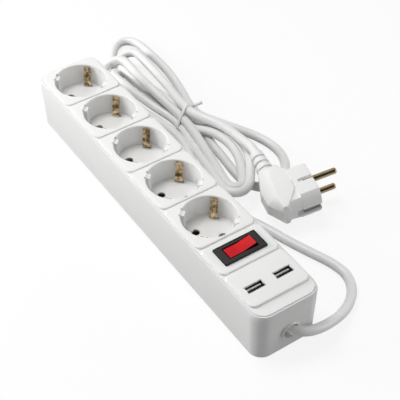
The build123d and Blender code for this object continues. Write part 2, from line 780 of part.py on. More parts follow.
# Cord clamp: a bar arched over the cord and two screws into the block below
clamp_spots = [(clamp_x, side * clamp_screw_spacing / 2) for side in (-1, 1)]
with BuildPart() as cord_clamp:
    with BuildSketch(Plane.YZ.offset(clamp_x)):
        with Locations((0, clamp_bar_bottom + clamp_thickness / 2)):
            RectangleRounded(clamp_span, clamp_thickness, clamp_thickness / 4)
        with Locations((0, exit_height)):
            Circle(clamp_bore + clamp_arch)
            Circle(clamp_bore, mode=Mode.SUBTRACT)
        with Locations((0, clamp_bar_bottom)):
            Rectangle(clamp_span, clamp_span, align=(Align.CENTER, Align.MAX), mode=Mode.SUBTRACT)
    extrude(amount=clamp_length / 2, both=True)
    with BuildSketch(Plane.XY.offset(clamp_bar_bottom)):
        with Locations(clamp_spots):
            Circle(screw_hole)
    extrude(amount=clamp_thickness, mode=Mode.SUBTRACT)
save(cord_clamp, "cord_clamp")

with BuildPart() as clamp_screws:
    with BuildSketch(Plane.XY.offset(clamp_bar_bottom + clamp_thickness)):
        with Locations(clamp_spots):
            Circle(screw_head_diameter / 2)
    extrude(amount=screw_head_height)
    fillet(clamp_screws.edges().group_by(Axis.Z)[-1], screw_head_height / 3)
    with BuildSketch(Plane.XY.offset(clamp_bar_bottom + clamp_thickness)):
        with Locations(clamp_spots):
            Circle(screw_diameter / 2)
    extrude(amount=-clamp_screw_length)
save(clamp_screws, "clamp_screws")

with BuildPart() as housing_screws:
    head_seat = screw_head_recess + screw_head_height
    with BuildSketch(Plane.XY.offset(head_seat)):
        with Locations(post_spots):
            Circle(screw_head_diameter / 2)
    extrude(amount=-screw_head_height)
    fillet(housing_screws.edges().group_by(Axis.Z)[0], screw_head_height / 3)
    with BuildSketch(Plane.XY.offset(head_seat)):
        with Locations(post_spots):
            Circle(screw_diameter / 2)
    extrude(amount=screw_length)
save(housing_screws, "housing_screws")

# Cord bushing: a flanged sleeve through the near wall, flared where the cord bends away
with BuildPart() as cord_bushing:
    flange_back = wall_face(exit_height + bushing_rim) + bushing_seat
    flange_front = flange_back + bushing_flange_thickness
    ring_front = wall_face(exit_height - bushing_rim) - tray_wall - bushing_seat
    ring_back = ring_front - bushing_ring_thickness
    with BuildSketch(Plane(origin=(0, 0, exit_height), x_dir=(1, 0, 0), z_dir=(0, -1, 0))):
        with BuildLine():
            Polyline((ring_back, bushing_bore), (ring_back, bushing_rim - bushing_flange / 2),
                     (ring_front, bushing_rim - bushing_flange / 2), (ring_front, bushing_neck),
                     (flange_back, bushing_neck), (flange_back, bushing_rim),
                     (flange_front - bushing_flange / 2, bushing_rim),
                     (flange_front, bushing_rim - bushing_flange / 2),
                     (flange_front, bushing_bore + bushing_flare),
                     (ring_front, bushing_bore), close=True)
        make_face()
    revolve(axis=Axis((0, 0, exit_height), (1, 0, 0)))
save(cord_bushing, "cord_bushing")

# The plug's own planes: its face, and the side view that its cord lies in
plug_front = Plane(origin=plug_face, x_dir=plug_cord_direction, z_dir=plug_pin_direction)
plug_side = Plane(origin=plug_face, x_dir=plug_front.x_dir, z_dir=-plug_front.y_dir)
relief_axis = Axis(plug_side.from_local_coords((0, -plug_cord_setback, 0)), plug_front.x_dir)

# Cord: from the clamp out of the bushing, along the floor and into the hank, and from there to the plug
floor_height = cord_radius + floor_gap
relief_tip = relief_axis.position + relief_axis.direction * relief_end
lead_bend = relief_tip + relief_axis.direction * lead_straight
cord_route = [
    (cord_end_x, 0, exit_height), (138.2, 0.03, 17.53), (148.5, 0, 17.47), (155, 8, 16.8), (156, 19.5, 14),
    (153.5, 32, 9.8), (149.5, 44, 5.6), (143.5, 55.5, floor_height), (135, 64.5, floor_height),
    (122.5, 69.5, floor_height), (108, 67, floor_height), (92, 60.5, floor_height), (74, 54, floor_height),
    (57, 49.2, floor_height), (38, 41.5, floor_height), (15, 37.2, floor_height), (-10, 37.6, floor_height),
    (-31, 43.6, floor_height), (-49, 49.4, floor_height), (-67, 51.4, floor_height), (-86, 48, floor_height),
    (-108, 43.2, floor_height), (-130, 41, floor_height), (-151, 41.2, floor_height),
    (-168, 45.5, floor_height),
]
lead_route = [
    tuple(relief_tip), tuple(lead_bend), (-13.5, 81.2, 23.2), (-24.5, 83.6, 19.6), (-35.5, 84.8, 15.4),
    (-46, 84, 12.2), (-56, 81.2, 10.4),
]


def corner_radii(route):
    """Bend radii as large as the runs beside each corner allow."""
    radii = []
    for before, corner, after in zip(route, route[1:], route[2:]):
        run_in = Vector(*corner) - Vector(*before)
        run_out = Vector(*after) - Vector(*corner)
        half_turn = radians(run_in.get_angle(run_out)) / 2
        radii.append(bend_share * min(run_in.length, run_out.length) / tan(half_turn))
    return radii


for cord_name, route in (("cord_tube", cord_route), ("cord_lead", lead_route)):
    with BuildPart() as cord:
        with BuildLine() as path:
            FilletPolyline(*route, radius=corner_radii(route))
        with BuildSketch(Plane(origin=path.line @ 0, z_dir=path.line % 0)):
            Circle(cord_radius)
        sweep()
    cord_length = sum(edge.length for edge in path.edges())
    filled = cord.part.volume / (pi * cord_radius**2 * cord_length)
    print(cord_name, "length", round(cord_length, 1), "volume over section times length", round(filled, 4))
    print("bend radii", [round(r, 1) for r in corner_radii(route)])
    save(cord, cord_name)

# Hank: the outer shape of the tied turns, two lobes pinched at the tie, with an open eye in the near one
side_strand = [(-62, 86), (-45, 95.5), (-26, 102.5), (-7, 104), (8, 100.5), (17.5, 92.5), (20, 82), (16.5, 72)]
with BuildPart() as cord_hank:
    for lobe in (((far_turn, far_turn_radius), (strip_turn, strip_turn_radius),
                  (strip_bulge, strip_bulge_radius)),
                 ((side_turn, side_turn_radius), (near_turn, near_turn_radius))):
        with BuildSketch(Plane.XY.offset(hank_base)):
            for middle, radius in lobe + ((waist, waist_radius),):
                with Locations(middle):
                    Circle(radius)
            make_hull()
        extrude(amount=hank_height)
    fillet(cord_hank.edges().group_by(Axis.Z)[-1], hank_edge)
    fillet(cord_hank.edges().group_by(Axis.Z)[0], hank_edge)
    with BuildSketch(Plane.XY.offset(hank_base)):
        with Locations(Location((*eye_middle, 0), (0, 0, eye_angle))):
            SlotOverall(eye_length, eye_width)
    extrude(amount=hank_height, mode=Mode.SUBTRACT)
    with BuildLine() as path:
        strand = [(x, y, floor_height) for x, y in side_strand]
        FilletPolyline(*strand, radius=corner_radii(strand))
    with BuildSketch(Plane(origin=path.line @ 0, z_dir=path.line % 0)):
        Circle(cord_radius)
    sweep()
save(cord_hank, "cord_hank")

# Twist tie round the waist, with its two ends twisted together
with BuildPart() as twist_tie:
    tie_slant = radians(tie_angle)
    tie_plane = Plane(origin=(waist[0], waist[1] - tie_offset, hank_base + hank_height / 2),
                      x_dir=(-sin(tie_slant), cos(tie_slant), 0), z_dir=(cos(tie_slant), sin(tie_slant), 0))
    tie_inner = (2 * (waist_radius / cos(tie_slant) + tie_slack), hank_height + 2 * tie_gap)
    with BuildSketch(tie_plane):
        RectangleRounded(tie_inner[0] + 2 * tie_thickness, tie_inner[1] + 2 * tie_thickness,
                         tie_corner + tie_thickness)
        RectangleRounded(tie_inner[0], tie_inner[1], tie_corner, mode=Mode.SUBTRACT)
    extrude(amount=tie_width / 2, both=True)
    tail_root = tie_plane.from_local_coords((tie_inner[0] / 2 - tie_corner,
                                             tie_inner[1] / 2 + tie_tail_diameter / 2, 0))
    with BuildSketch(Plane(origin=tail_root, z_dir=tie_tail_direction)):
        Circle(tie_tail_diameter / 2)
    extrude(amount=tie_tail_length)
save(twist_tie, "twist_tie")

# Plug: sketched on its own planes, face forward, with the cord leaving to one side. Its block is a low
# outline below a shoulder, drawn in from there to the flat panel on top
block_outline = [(24.5, -18), (15.5, -13), (-5, -13), (-17.5, -25.5), (-17.5, -30.5), (-6, -38), (6, -38),
                 (24.5, -32)]
panel_outline = [(19, -20), (13.3, -13.6), (-4.8, -16.4), (-17, -26.8), (-16.5, -30), (-6, -30.2), (6, -28.6),
                 (19, -26.6)]
shoulder_plane = plug_side.offset(-plug_shoulder_height)
panel_plane = plug_side.offset(-plug_block_half_height - plug_panel_rise)
with BuildPart() as plug_body:
    with BuildSketch(shoulder_plane):
        with BuildLine():
            Polyline(*block_outline, close=True)
        make_face()
    extrude(amount=plug_shoulder_height + plug_block_half_height)
    with BuildSketch(shoulder_plane):
        with BuildLine():
            Polyline(*block_outline, close=True)
        make_face()
    with BuildSketch(panel_plane):
        with BuildLine():
            Polyline(*panel_outline, close=True)
        make_face()
    loft(ruled=True)
    fillet(plug_body.faces().sort_by(Axis(plug_face, plug_front.y_dir))[0].edges(), plug_block_edge)
    fillet(plug_body.faces().sort_by(Axis(plug_face, plug_front.y_dir))[-1].edges(), plug_panel_edge)
    with BuildSketch(plug_front):
        Circle(plug_front_diameter / 2)
        Rectangle(plug_front_diameter, 2 * plug_flat_height, mode=Mode.INTERSECT)
    extrude(amount=-plug_front_depth - plug_block_lap)
    fillet(plug_body.faces().sort_by(Axis(plug_face, plug_pin_direction))[-1].edges(), plug_front_edge)
    with BuildSketch(plug_front.offset(-plug_front_depth)):
        Circle(plug_front_diameter / 2 - plug_back_inset)
        Rectangle(plug_front_diameter, 2 * (plug_block_half_height - plug_back_inset), mode=Mode.INTERSECT)
    extrude(amount=plug_front_depth - plug_back_depth)
    with BuildSketch(plug_side):
        with BuildLine():
            Polyline((relief_start, -plug_cord_setback),
                     (relief_start, -plug_cord_setback + relief_root_diameter / 2),
                     (relief_end, -plug_cord_setback + relief_tip_diameter / 2),
                     (relief_end, -plug_cord_setback), close=True)
        make_face()
        groove_pitch = (relief_end - relief_start) / (relief_groove_count + 1)
        for i in range(relief_groove_count):
            along = (i + 1) * groove_pitch
            reach = (relief_root_diameter - (relief_root_diameter - relief_tip_diameter) * along
                     / (relief_end - relief_start)) / 2
            with Locations((relief_start + along, -plug_cord_setback + reach)):
                Rectangle(relief_groove_width, 2 * relief_groove_depth, mode=Mode.SUBTRACT)
    revolve(axis=relief_axis)
    for side in (-1, 1):
        with BuildSketch(plug_side.offset(side * plug_flat_height)):
            SlotCenterToCenter(2 * plug_groove_length, plug_groove_width, rotation=90)
        extrude(amount=-side * plug_groove_depth, mode=Mode.SUBTRACT)
    with BuildSketch(plug_front):
        with GridLocations(plug_front_diameter - earth_slot_depth, 0, 2, 1):
            Rectangle(2 * earth_slot_depth, earth_slot_width)
    extrude(amount=-earth_slot_length, mode=Mode.SUBTRACT)
    with BuildSketch(plug_front):
        with GridLocations(0, pin_spacing, 1, 2):
            Circle(pin_diameter / 2 + plug_pin_shank + plug_pin_clearance)
    extrude(amount=-plug_pin_root, mode=Mode.SUBTRACT)
save(plug_body, "plug_body")

with BuildPart() as plug_pins:
    with BuildSketch(plug_front):
        with GridLocations(0, pin_spacing, 1, 2):
            Circle(pin_diameter / 2 + plug_pin_shank)
    extrude(amount=-plug_pin_root)
    with BuildSketch(plug_front):
        with GridLocations(0, pin_spacing, 1, 2):
            Circle(pin_diameter / 2)
    extrude(amount=pin_length)
    fillet(plug_pins.edges().sort_by(Axis(plug_face, plug_pin_direction))[-2:], plug_pin_tip)
save(plug_pins, "plug_pins")

with BuildPart() as plug_earth_contacts:
    strip_reach = plug_front_diameter - 2 * earth_slot_depth + earth_strip_thickness
    with BuildSketch(plug_front.offset(-plug_front_edge)):
        with GridLocations(strip_reach, 0, 2, 1):
            Rectangle(earth_strip_thickness, earth_strip_width)
    extrude(amount=-(plug_front_depth - plug_front_edge))
save(plug_earth_contacts, "plug_earth_contacts")
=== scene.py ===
"""Looks of a five-way socket strip with a rocker switch, USB ports, a tied mains cord and an angled plug."""
import logging
import math
from dataclasses import dataclass, field
from enum import Enum

import bmesh
import bpy
from mathutils import Matrix, Vector


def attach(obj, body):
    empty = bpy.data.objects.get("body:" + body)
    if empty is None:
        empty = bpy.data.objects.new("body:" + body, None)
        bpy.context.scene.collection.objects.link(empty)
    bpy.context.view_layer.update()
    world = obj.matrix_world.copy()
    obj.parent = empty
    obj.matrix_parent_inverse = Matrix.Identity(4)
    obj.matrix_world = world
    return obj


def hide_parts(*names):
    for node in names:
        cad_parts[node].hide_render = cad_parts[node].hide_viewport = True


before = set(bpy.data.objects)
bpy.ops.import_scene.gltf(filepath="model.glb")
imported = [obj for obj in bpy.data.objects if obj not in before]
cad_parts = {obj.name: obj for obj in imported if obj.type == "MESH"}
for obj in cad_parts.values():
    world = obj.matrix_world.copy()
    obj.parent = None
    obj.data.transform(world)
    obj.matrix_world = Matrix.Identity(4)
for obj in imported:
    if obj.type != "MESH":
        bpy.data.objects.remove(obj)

log = logging.getLogger("socket_strip")
MM = 0.001
STRIP_BODY = "strip"
ROCKER_BODY = "rocker"
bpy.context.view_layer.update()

# The angle above which an edge stays sharp, in degrees
CREASE = 32.0
# How near vertices are joined, and how near a cut takes a vertex as on it, in millimetres
WELD, CUT_SNAP = 0.002, 0.001

Point = tuple[float, float, float]
Colour = tuple[float, float, float]
Ends = tuple[object, object]
Socket = bpy.types.NodeSocket
WHOLE = (0.0, 1.0)

# Places of the Mix node's colour sockets, whose names it uses more than once
MIX_SHARE, MIX_FIRST, MIX_SECOND, MIX_RESULT = 0, 6, 7, 2


def placed(name: str, data: bpy.types.ID) -> bpy.types.Object:
    """Put a new object into the scene.

    Args:
        name: What it is called.
        data: The mesh, curve, light or camera that it holds.

    Returns:
        The object.
    """
    made = bpy.data.objects.new(name, data)
    bpy.context.scene.collection.objects.link(made)
    return made


def finish_mesh(work: bmesh.types.BMesh, mesh: bpy.types.Mesh, crease: float = CREASE) -> None:
    """Write worked faces to a mesh, smooth but for its creases.

    Args:
        work: The faces, which are let go.
        mesh: The mesh that takes them.
        crease: The angle, in degrees, above which an edge stays sharp.
    """
    for face in work.faces:
        face.smooth = True
    work.to_mesh(mesh)
    work.free()
    if mesh.attributes.get("custom_normal"):
        mesh.attributes.remove(mesh.attributes["custom_normal"])
    mesh.set_sharp_from_angle(angle=math.radians(crease))


class WiredNodes:
    """A node tree that is wired by nested calls."""

    def __init__(self, tree: bpy.types.NodeTree) -> None:
        """Take the tree that the nodes go into."""
        self.tree = tree

    def feed(self, node: bpy.types.Node, fed: dict[int | str, object]) -> None:
        """Feed a node's inputs.

        Args:
            node: The node.
            fed: What goes into each input: another node's socket, a list of them, or a value.
        """
        for label, value in fed.items():
            target = node.inputs[label]
            for source in value if isinstance(value, list) else [value]:
                if isinstance(source, Socket):
                    self.tree.links.new(source, target)
                else:
                    target.default_value = source

    def node(self, kind: str, fed: dict[int | str, object], out: int | str = 0, **settings: object) -> Socket:
        """Add a node and feed its inputs.

        Args:
            kind: The node's type.
            fed: What goes into each input.
            out: Which output is wanted.
            settings: The node's own properties.

        Returns:
            That output.
        """
        made = self.tree.nodes.new(kind)
        for key, value in settings.items():
            setattr(made, key, value)
        self.feed(made, fed)
        return made.outputs[out]

    def maths(self, operation: str, *values: object) -> Socket:
        """Work a number out from numbers or sockets."""
        return self.node("ShaderNodeMath", dict(enumerate(values)), operation=operation)

    def vector(self, x: object = 0.0, y: object = 0.0, z: object = 0.0) -> Socket:
        """Join three numbers or sockets into a vector."""
        return self.node("ShaderNodeCombineXYZ", {"X": x, "Y": y, "Z": z})

    def span(self, value: Socket, source: Ends = WHOLE, target: Ends = WHOLE) -> Socket:
        """Carry a number over from one range to another, both given by their ends."""
        ends = zip(("From Min", "From Max", "To Min", "To Max"), (*source, *target))
        return self.node("ShaderNodeMapRange", {"Value": value, **dict(ends)})

    def mixed(self, share: Socket, first: object, second: object) -> Socket:
        """Mix a share of the second colour into the first."""
        fed = {MIX_SHARE: share, MIX_FIRST: first, MIX_SECOND: second}
        return self.node("ShaderNodeMix", fed, MIX_RESULT, data_type="RGBA")

    def ray(self, kind: str) -> Socket:
        """Whether the light path is of a kind."""
        return self.node("ShaderNodeLightPath", {}, kind)


class Grain(Enum):
    """How the surface of a finish is broken up."""

    MOULDED = "fine even grain of a moulding tool"
    SHEATH = "soft sheath with faint waves"
    ROLLED = "drawn lines of rolled sheet"
    SMOOTH = "polished, with faint waves only"


@dataclass(frozen=True)
class Finish:
    """A procedural surface: colour drift, uneven gloss and fine relief, all in object space.

    The depth of the relief is in millimetres. The scales of drift and grain are for metres.
    """

    slot: str
    colour: Colour
    shade: Colour
    grain: Grain = Grain.MOULDED
    roughness: float = 0.4
    unevenness: float = 0.06
    relief: float = 0.12
    relief_depth: float = 0.05
    metallic: float = 0.0
    transmission: float = 0.0
    specular: float = 0.5
    drift_scale: float = 28.0
    drift_spread: float = 0.35
    drift_detail: float = 4.0
    grain_scale: float = 1800.0
    grain_detail: float = 3.0
    wave_coarseness: float = 12.0
    rolled_stretch: Point = (1.0, 1.0, 0.06)

    def material(self) -> bpy.types.Material:
        """Build the material once and return it.

        Returns:
            The material that carries this finish.
        """
        name = f"{self.slot}_surface"
        made = bpy.data.materials.get(name)
        if made:
            return made
        made = bpy.data.materials.new(name)
        made.use_nodes = True
        tree = WiredNodes(made.node_tree)
        place = tree.node("ShaderNodeTexCoord", {}, "Object")
        look = {"Metallic": self.metallic, "Transmission Weight": self.transmission,
                "Specular IOR Level": self.specular}
        look |= self.tone(tree, place) | self.relief_and_gloss(tree, place)
        tree.feed(made.node_tree.nodes["Principled BSDF"], look)
        return made

    def tone(self, tree: WiredNodes, place: Socket) -> dict[str, object]:
        """Let the colour drift towards its shade.

        Args:
            tree: The material's nodes.
            place: Where on its piece a point lies.

        Returns:
            What goes into the shader's inputs.
        """
        drift = tree.node("ShaderNodeTexNoise", {"Vector": place, "Scale": self.drift_scale,
                                                 "Detail": self.drift_detail}, "Fac")
        share = tree.span(drift, (0.5 - self.drift_spread, 0.5 + self.drift_spread))
        return {"Base Color": tree.mixed(share, (*self.colour, 1), (*self.shade, 1))}

    def relief_and_gloss(self, tree: WiredNodes, place: Socket) -> dict[str, object]:
        """Raise the grain and let the gloss follow it.

        Args:
            tree: The material's nodes.
            place: Where on its piece a point lies.

        Returns:
            What goes into the shader's inputs.
        """
        stretch = self.rolled_stretch if self.grain is Grain.ROLLED else (1.0, 1.0, 1.0)
        coarseness = self.wave_coarseness if self.grain in (Grain.SHEATH, Grain.SMOOTH) else 1.0
        stretched = tree.node("ShaderNodeMapping", {"Vector": place, "Scale": stretch})
        grain = tree.node("ShaderNodeTexNoise", {"Vector": stretched, "Scale": self.grain_scale / coarseness,
                                                 "Detail": self.grain_detail}, "Fac")
        gloss = tree.span(grain, target=(self.roughness - self.unevenness, self.roughness + self.unevenness))
        bump = tree.node("ShaderNodeBump", {"Strength": self.relief, "Distance": self.relief_depth * MM,
                                            "Height": grain})
        return {"Roughness": gloss, "Normal": bump}


@dataclass(frozen=True)
class GapShadeFinish(Finish):
    """A finish with painted shade along the outline of its piece: dark and dull there, standing in for the
    shade in the gap round it.

    The outline's centre, its half sizes and the width of the band of painted shade are in millimetres.
    """

    centre: tuple[float, float] = (0.0, 0.0)
    half: tuple[float, float] = (1.0, 1.0)
    # The width of the band of painted shade along the outline
    rim: float = 0.5
    gap_shade_colour: Colour = (0.0, 0.0, 0.0)

    def tone(self, tree: WiredNodes, place: Socket) -> dict[str, object]:
        """Let the colour drift, and paint the gap's shade along the outline, dark and without gloss.

        Args:
            tree: The material's nodes.
            place: Where on its piece a point lies.

        Returns:
            What goes into the shader's inputs.
        """
        look = super().tone(tree, place)
        gap_shade_shares = []
        for axis, middle, half in zip("XY", self.centre, self.half):
            along = tree.node("ShaderNodeSeparateXYZ", {"Vector": place}, axis)
            away = tree.maths("ABSOLUTE", tree.maths("SUBTRACT", along, middle * MM))
            gap_shade_shares.append(tree.span(away, ((half - self.rim) * MM, (half - self.rim / 2) * MM)))
        share = tree.maths("MAXIMUM", *gap_shade_shares)
        # Paint the gap's shade: the colour goes dark and the gloss goes away along the outline
        look["Base Color"] = tree.mixed(share, look["Base Color"], (*self.gap_shade_colour, 1))
        look["Specular IOR Level"] = tree.span(share, target=(self.specular, 0.0))
        return look


HOUSING = Finish("housing_white", (0.88, 0.88, 0.875), (0.84, 0.84, 0.83), roughness=0.45, specular=0.35)
PADS = Finish("pad_white", (0.90, 0.90, 0.895), (0.86, 0.86, 0.85), roughness=0.42, specular=0.35)
# The bezel and the rocker both carry painted shade along their outlines, for the shade in the gaps round
# them; rim is its width
BEZEL = GapShadeFinish("switch_black", (0.022, 0.022, 0.021), (0.013, 0.013, 0.013), roughness=0.5,
                     specular=0.25, centre=(91.9, -0.35), half=(8.1, 16.8), rim=0.5,
                     gap_shade_colour=(0.002, 0.002, 0.002))
ROCKER = GapShadeFinish("rocker_red", (0.76, 0.012, 0.020), (0.52, 0.008, 0.013), Grain.SMOOTH, roughness=0.3,
                      relief=0.05, specular=0.15, drift_scale=90.0, drift_spread=0.2, centre=(91.25, 0.0),
                      half=(4.9, 11.4), rim=0.9, gap_shade_colour=(0.012, 0.001, 0.001))
# Brass: a random mottle between bright gold and near-black, its contrast pushed so that it also paints in the
# bright and dark reflections on the clips
BRASS = Finish("contact_brass", (0.86, 0.68, 0.43), (0.16, 0.10, 0.045), Grain.ROLLED, roughness=0.24,
               relief=0.5, metallic=1.0, drift_scale=330.0, drift_spread=0.12, grain_scale=700.0)
SHELL_STEEL = Finish("port_steel", (0.30, 0.295, 0.29), (0.18, 0.178, 0.175), Grain.ROLLED, roughness=0.3,
                     metallic=1.0)
TONGUE = Finish("tongue_cream", (0.78, 0.70, 0.62), (0.70, 0.61, 0.52))
SHEATH = Finish("cord_white", (0.88, 0.88, 0.875), (0.82, 0.82, 0.81), Grain.SHEATH, roughness=0.32,
                relief=0.25)
PLUG = Finish("plug_white", (0.88, 0.88, 0.875), (0.84, 0.84, 0.83), roughness=0.45, specular=0.35)
NICKEL = Finish("pin_nickel", (0.42, 0.34, 0.22), (0.24, 0.18, 0.10), Grain.SMOOTH, roughness=0.17,
                unevenness=0.04, relief=0.03, metallic=1.0, drift_scale=160.0)
TIE = Finish("tie_white", (0.88, 0.88, 0.88), (0.80, 0.80, 0.80), Grain.SMOOTH, roughness=0.3)
SCREW = Finish("screw_steel", (0.52, 0.52, 0.53), (0.42, 0.42, 0.43), Grain.ROLLED, roughness=0.3,
               metallic=1.0)
BOARD = Finish("board_green", (0.035, 0.17, 0.08), (0.02, 0.12, 0.05), roughness=0.35)
DARK_CASE = Finish("component_dark", (0.05, 0.05, 0.055), (0.03, 0.03, 0.035), roughness=0.45)
VARISTOR = Finish("varistor_blue", (0.05, 0.12, 0.34), (0.03, 0.08, 0.26), Grain.SMOOTH, roughness=0.3)
FUSE = Finish("fuse_white", (0.80, 0.79, 0.75), (0.74, 0.73, 0.68))
BROWN_WIRE = Finish("wire_brown", (0.16, 0.07, 0.03), (0.11, 0.05, 0.02), Grain.SHEATH)
BLUE_WIRE = Finish("wire_blue", (0.04, 0.11, 0.38), (0.03, 0.08, 0.30), Grain.SHEATH)
GREEN_WIRE = Finish("wire_green", (0.16, 0.36, 0.05), (0.30, 0.34, 0.04), Grain.SHEATH)
LAMP = Finish("lamp_glass", (0.85, 0.55, 0.40), (0.75, 0.45, 0.30), Grain.SMOOTH, roughness=0.12,
              transmission=0.6)


class SizedTree(WiredNodes):
    """A Geometry Nodes tree with a named input for each size, grown once into a plain mesh."""

    def __init__(self, name: str) -> None:
        """Start an empty tree.

        Args:
            name: The name of the tree and of the piece that it grows.
        """
        super().__init__(bpy.data.node_groups.new(name, "GeometryNodeTree"))
        self.name = name
        self.tree.interface.new_socket("Spots", in_out="INPUT", socket_type="NodeSocketGeometry")
        self.tree.interface.new_socket("Grown", in_out="OUTPUT", socket_type="NodeSocketGeometry")
        self.inlet = self.tree.nodes.new("NodeGroupInput")
        self.outlet = self.tree.nodes.new("NodeGroupOutput")
        self.sizes: dict[str, float] = {}

    def size(self, label: str, millimetres: float) -> Socket:
        """Add a named size to the tree's inputs.

        Args:
            label: What the size is called.
            millimetres: How large it is.

        Returns:
            The socket that gives it, in metres.
        """
        entry = self.tree.interface.new_socket(label, in_out="INPUT", socket_type="NodeSocketFloat")
        self.sizes[entry.identifier] = millimetres * MM
        return self.inlet.outputs[label]

    def moved(self, shape: Socket, by: Socket, turn: Point = (0, 0, 0)) -> Socket:
        """Turn a shape, then move it."""
        return self.node("GeometryNodeTransform", {"Geometry": shape, "Translation": by, "Rotation": turn})

    def copies(self, shape: Socket, points: Socket) -> Socket:
        """Put a copy of a shape on each point."""
        return self.node("GeometryNodeInstanceOnPoints", {"Points": points, "Instance": shape})

    def row(self, shape: Socket, count: int, pitch: Socket) -> Socket:
        """Put copies of a shape in a row across the strip, about its middle.

        Args:
            shape: The shape.
            count: How many copies there are.
            pitch: How far apart they stand.

        Returns:
            The row.
        """
        start = self.vector(y=self.maths("MULTIPLY", pitch, (1 - count) / 2))
        points = self.node("GeometryNodeMeshLine", {"Count": count, "Offset": self.vector(y=pitch),
                                                    "Start Location": start})
        return self.copies(shape, points)

    def grow(self, shape: Socket, spots: list[Point], finish: Finish) -> bpy.types.Object:
        """Grow a copy of the shape on each spot and leave them as a plain mesh.

        Args:
            shape: What the tree grows.
            spots: The points, in millimetres.
            finish: The finish that its faces get.

        Returns:
            The grown object.
        """
        spread = self.copies(shape, self.inlet.outputs["Spots"])
        real = self.node("GeometryNodeRealizeInstances", {"Geometry": spread})
        coated = self.node("GeometryNodeSetMaterial", {"Geometry": real, "Material": finish.material()})
        self.feed(self.outlet, {"Grown": coated})
        mesh = bpy.data.meshes.new(self.name)
        mesh.from_pydata([tuple(c * MM for c in spot) for spot in spots], [], [])
        piece = placed(self.name, mesh)
        grower = piece.modifiers.new("grown", "NODES")
        grower.node_group = self.tree
        for identifier, value in self.sizes.items():
            grower[identifier] = value
        ready = piece.evaluated_get(bpy.context.evaluated_depsgraph_get())
        plain = bpy.data.meshes.new_from_object(ready)
        piece.modifiers.remove(grower)
        piece.data = plain
        log.info("%s grown on %d points, %d faces", self.name, len(spots), len(plain.polygons))
        return piece


@dataclass
class SubAssembly:
    """A group of pieces that are built, and then dressed, together.

    Sizes are in millimetres and angles in degrees, unless a group says otherwise.
    """

    made: dict[str, bpy.types.Object] = field(default_factory=dict, init=False)

    def stand_in(self, *nodes: str, body: str = STRIP_BODY) -> None:
        """Stand a smooth-shaded copy in for each CAD node, its loose triangles joined.

        Args:
            nodes: The nodes' names.
            body: The body that the copies ride on.
        """
        for node in nodes:
            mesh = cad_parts[node].data.copy()
            work = bmesh.new()
            work.from_mesh(mesh)
            bmesh.ops.remove_doubles(work, verts=work.verts, dist=WELD * MM)
            finish_mesh(work, mesh)
            piece = placed(f"{node}_dressed", mesh)
            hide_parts(node)
            self.add(node, piece, body)

    def add(self, name: str, piece: bpy.types.Object, body: str = STRIP_BODY) -> None:
        """Take a new piece in, on its body.

        Args:
            name: What the group calls it.
            piece: The object.
            body: The body that it rides on.
        """
        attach(piece, body)
        self.made[name] = piece
        log.info("%s built", name)

    def paint(self, finishes: dict[str, Finish]) -> None:
        """Finish pieces of the group, and CAD nodes that stay as they are.

        Args:
            finishes: The finish for each piece or node, by name.
        """
        for name, finish in finishes.items():
            piece = self.made.get(name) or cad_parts[name]
            piece.data.materials.clear()
            piece.data.materials.append(finish.material())
            log.info("%s finished in %s", name, finish.slot)


@dataclass
class Housing(SubAssembly):
    """The tray, the deck inside its rim and the screws let in from below."""

    screw_rows: tuple[float, ...] = (-100.2, 33.0, 140.5)
    screw_side: float = 16.6
    head_seat: float = 3.0
    head_height: float = 2.0
    head_radius: float = 2.8
    head_edge: float = 0.6
    head_sides: int = 40
    recess_width: float = 0.9
    recess_length: float = 3.6
    recess_depth: float = 1.2
    shank_radius: float = 1.45
    shank_length: float = 14.0
    shank_sides: int = 20

    def build(self) -> None:
        """Make the tray, the deck and the screws."""
        self.stand_in("base_tray", "top_cover")
        screws = self.build_screws()
        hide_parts("housing_screws")
        self.add("housing_screws", screws)

    def build_screws(self) -> bpy.types.Object:
        """Grow one screw with a crossed recess on each spot.

        Returns:
            All the screws as one object.
        """
        tree = SizedTree("cover_screws")
        height = tree.size("Head height", self.head_height)
        radius = tree.size("Head radius", self.head_radius)
        edge = tree.size("Head edge", self.head_edge)
        wide = tree.size("Recess width", self.recess_width)
        long = tree.size("Recess length", self.recess_length)
        deep = tree.size("Recess depth", self.recess_depth)
        shank_radius = tree.size("Shank radius", self.shank_radius)
        shank_length = tree.size("Shank length", self.shank_length)
        face = tree.vector(z=tree.maths("MULTIPLY", height, -1.0))
        straight = tree.maths("SUBTRACT", height, edge)
        rim = tree.node("GeometryNodeMeshCylinder", {"Vertices": self.head_sides, "Radius": radius,
                                                     "Depth": straight})
        rim = tree.moved(rim, tree.vector(z=tree.maths("MULTIPLY", straight, -0.5)))
        crown = tree.node("GeometryNodeMeshCone", {"Vertices": self.head_sides, "Radius Top": radius,
                                                   "Radius Bottom": tree.maths("SUBTRACT", radius, edge),
                                                   "Depth": edge})
        crown = tree.moved(crown, face)
        shank = tree.node("GeometryNodeMeshCylinder", {"Vertices": self.shank_sides, "Radius": shank_radius,
                                                       "Depth": shank_length})
        shank = tree.moved(shank, tree.vector(z=tree.maths("MULTIPLY", shank_length, 0.5)))
        solid = tree.node("GeometryNodeMeshBoolean", {"Mesh 2": [rim, crown, shank]}, operation="UNION")
        twice = tree.maths("MULTIPLY", deep, 2.0)
        bars = [tree.moved(tree.node("GeometryNodeMeshCube", {"Size": size}), face)
                for size in (tree.vector(long, wide, twice), tree.vector(wide, long, twice))]
        cut = tree.node("GeometryNodeMeshBoolean", {"Mesh 1": solid, "Mesh 2": bars}, operation="DIFFERENCE")
        spots = [(x, side * self.screw_side, self.head_seat) for x in self.screw_rows for side in (-1, 1)]
        return tree.grow(cut, spots, SCREW)

    def dress(self) -> None:
        """Finish the housing."""
        self.paint({"base_tray": HOUSING, "top_cover": HOUSING, "housing_screws": SCREW})


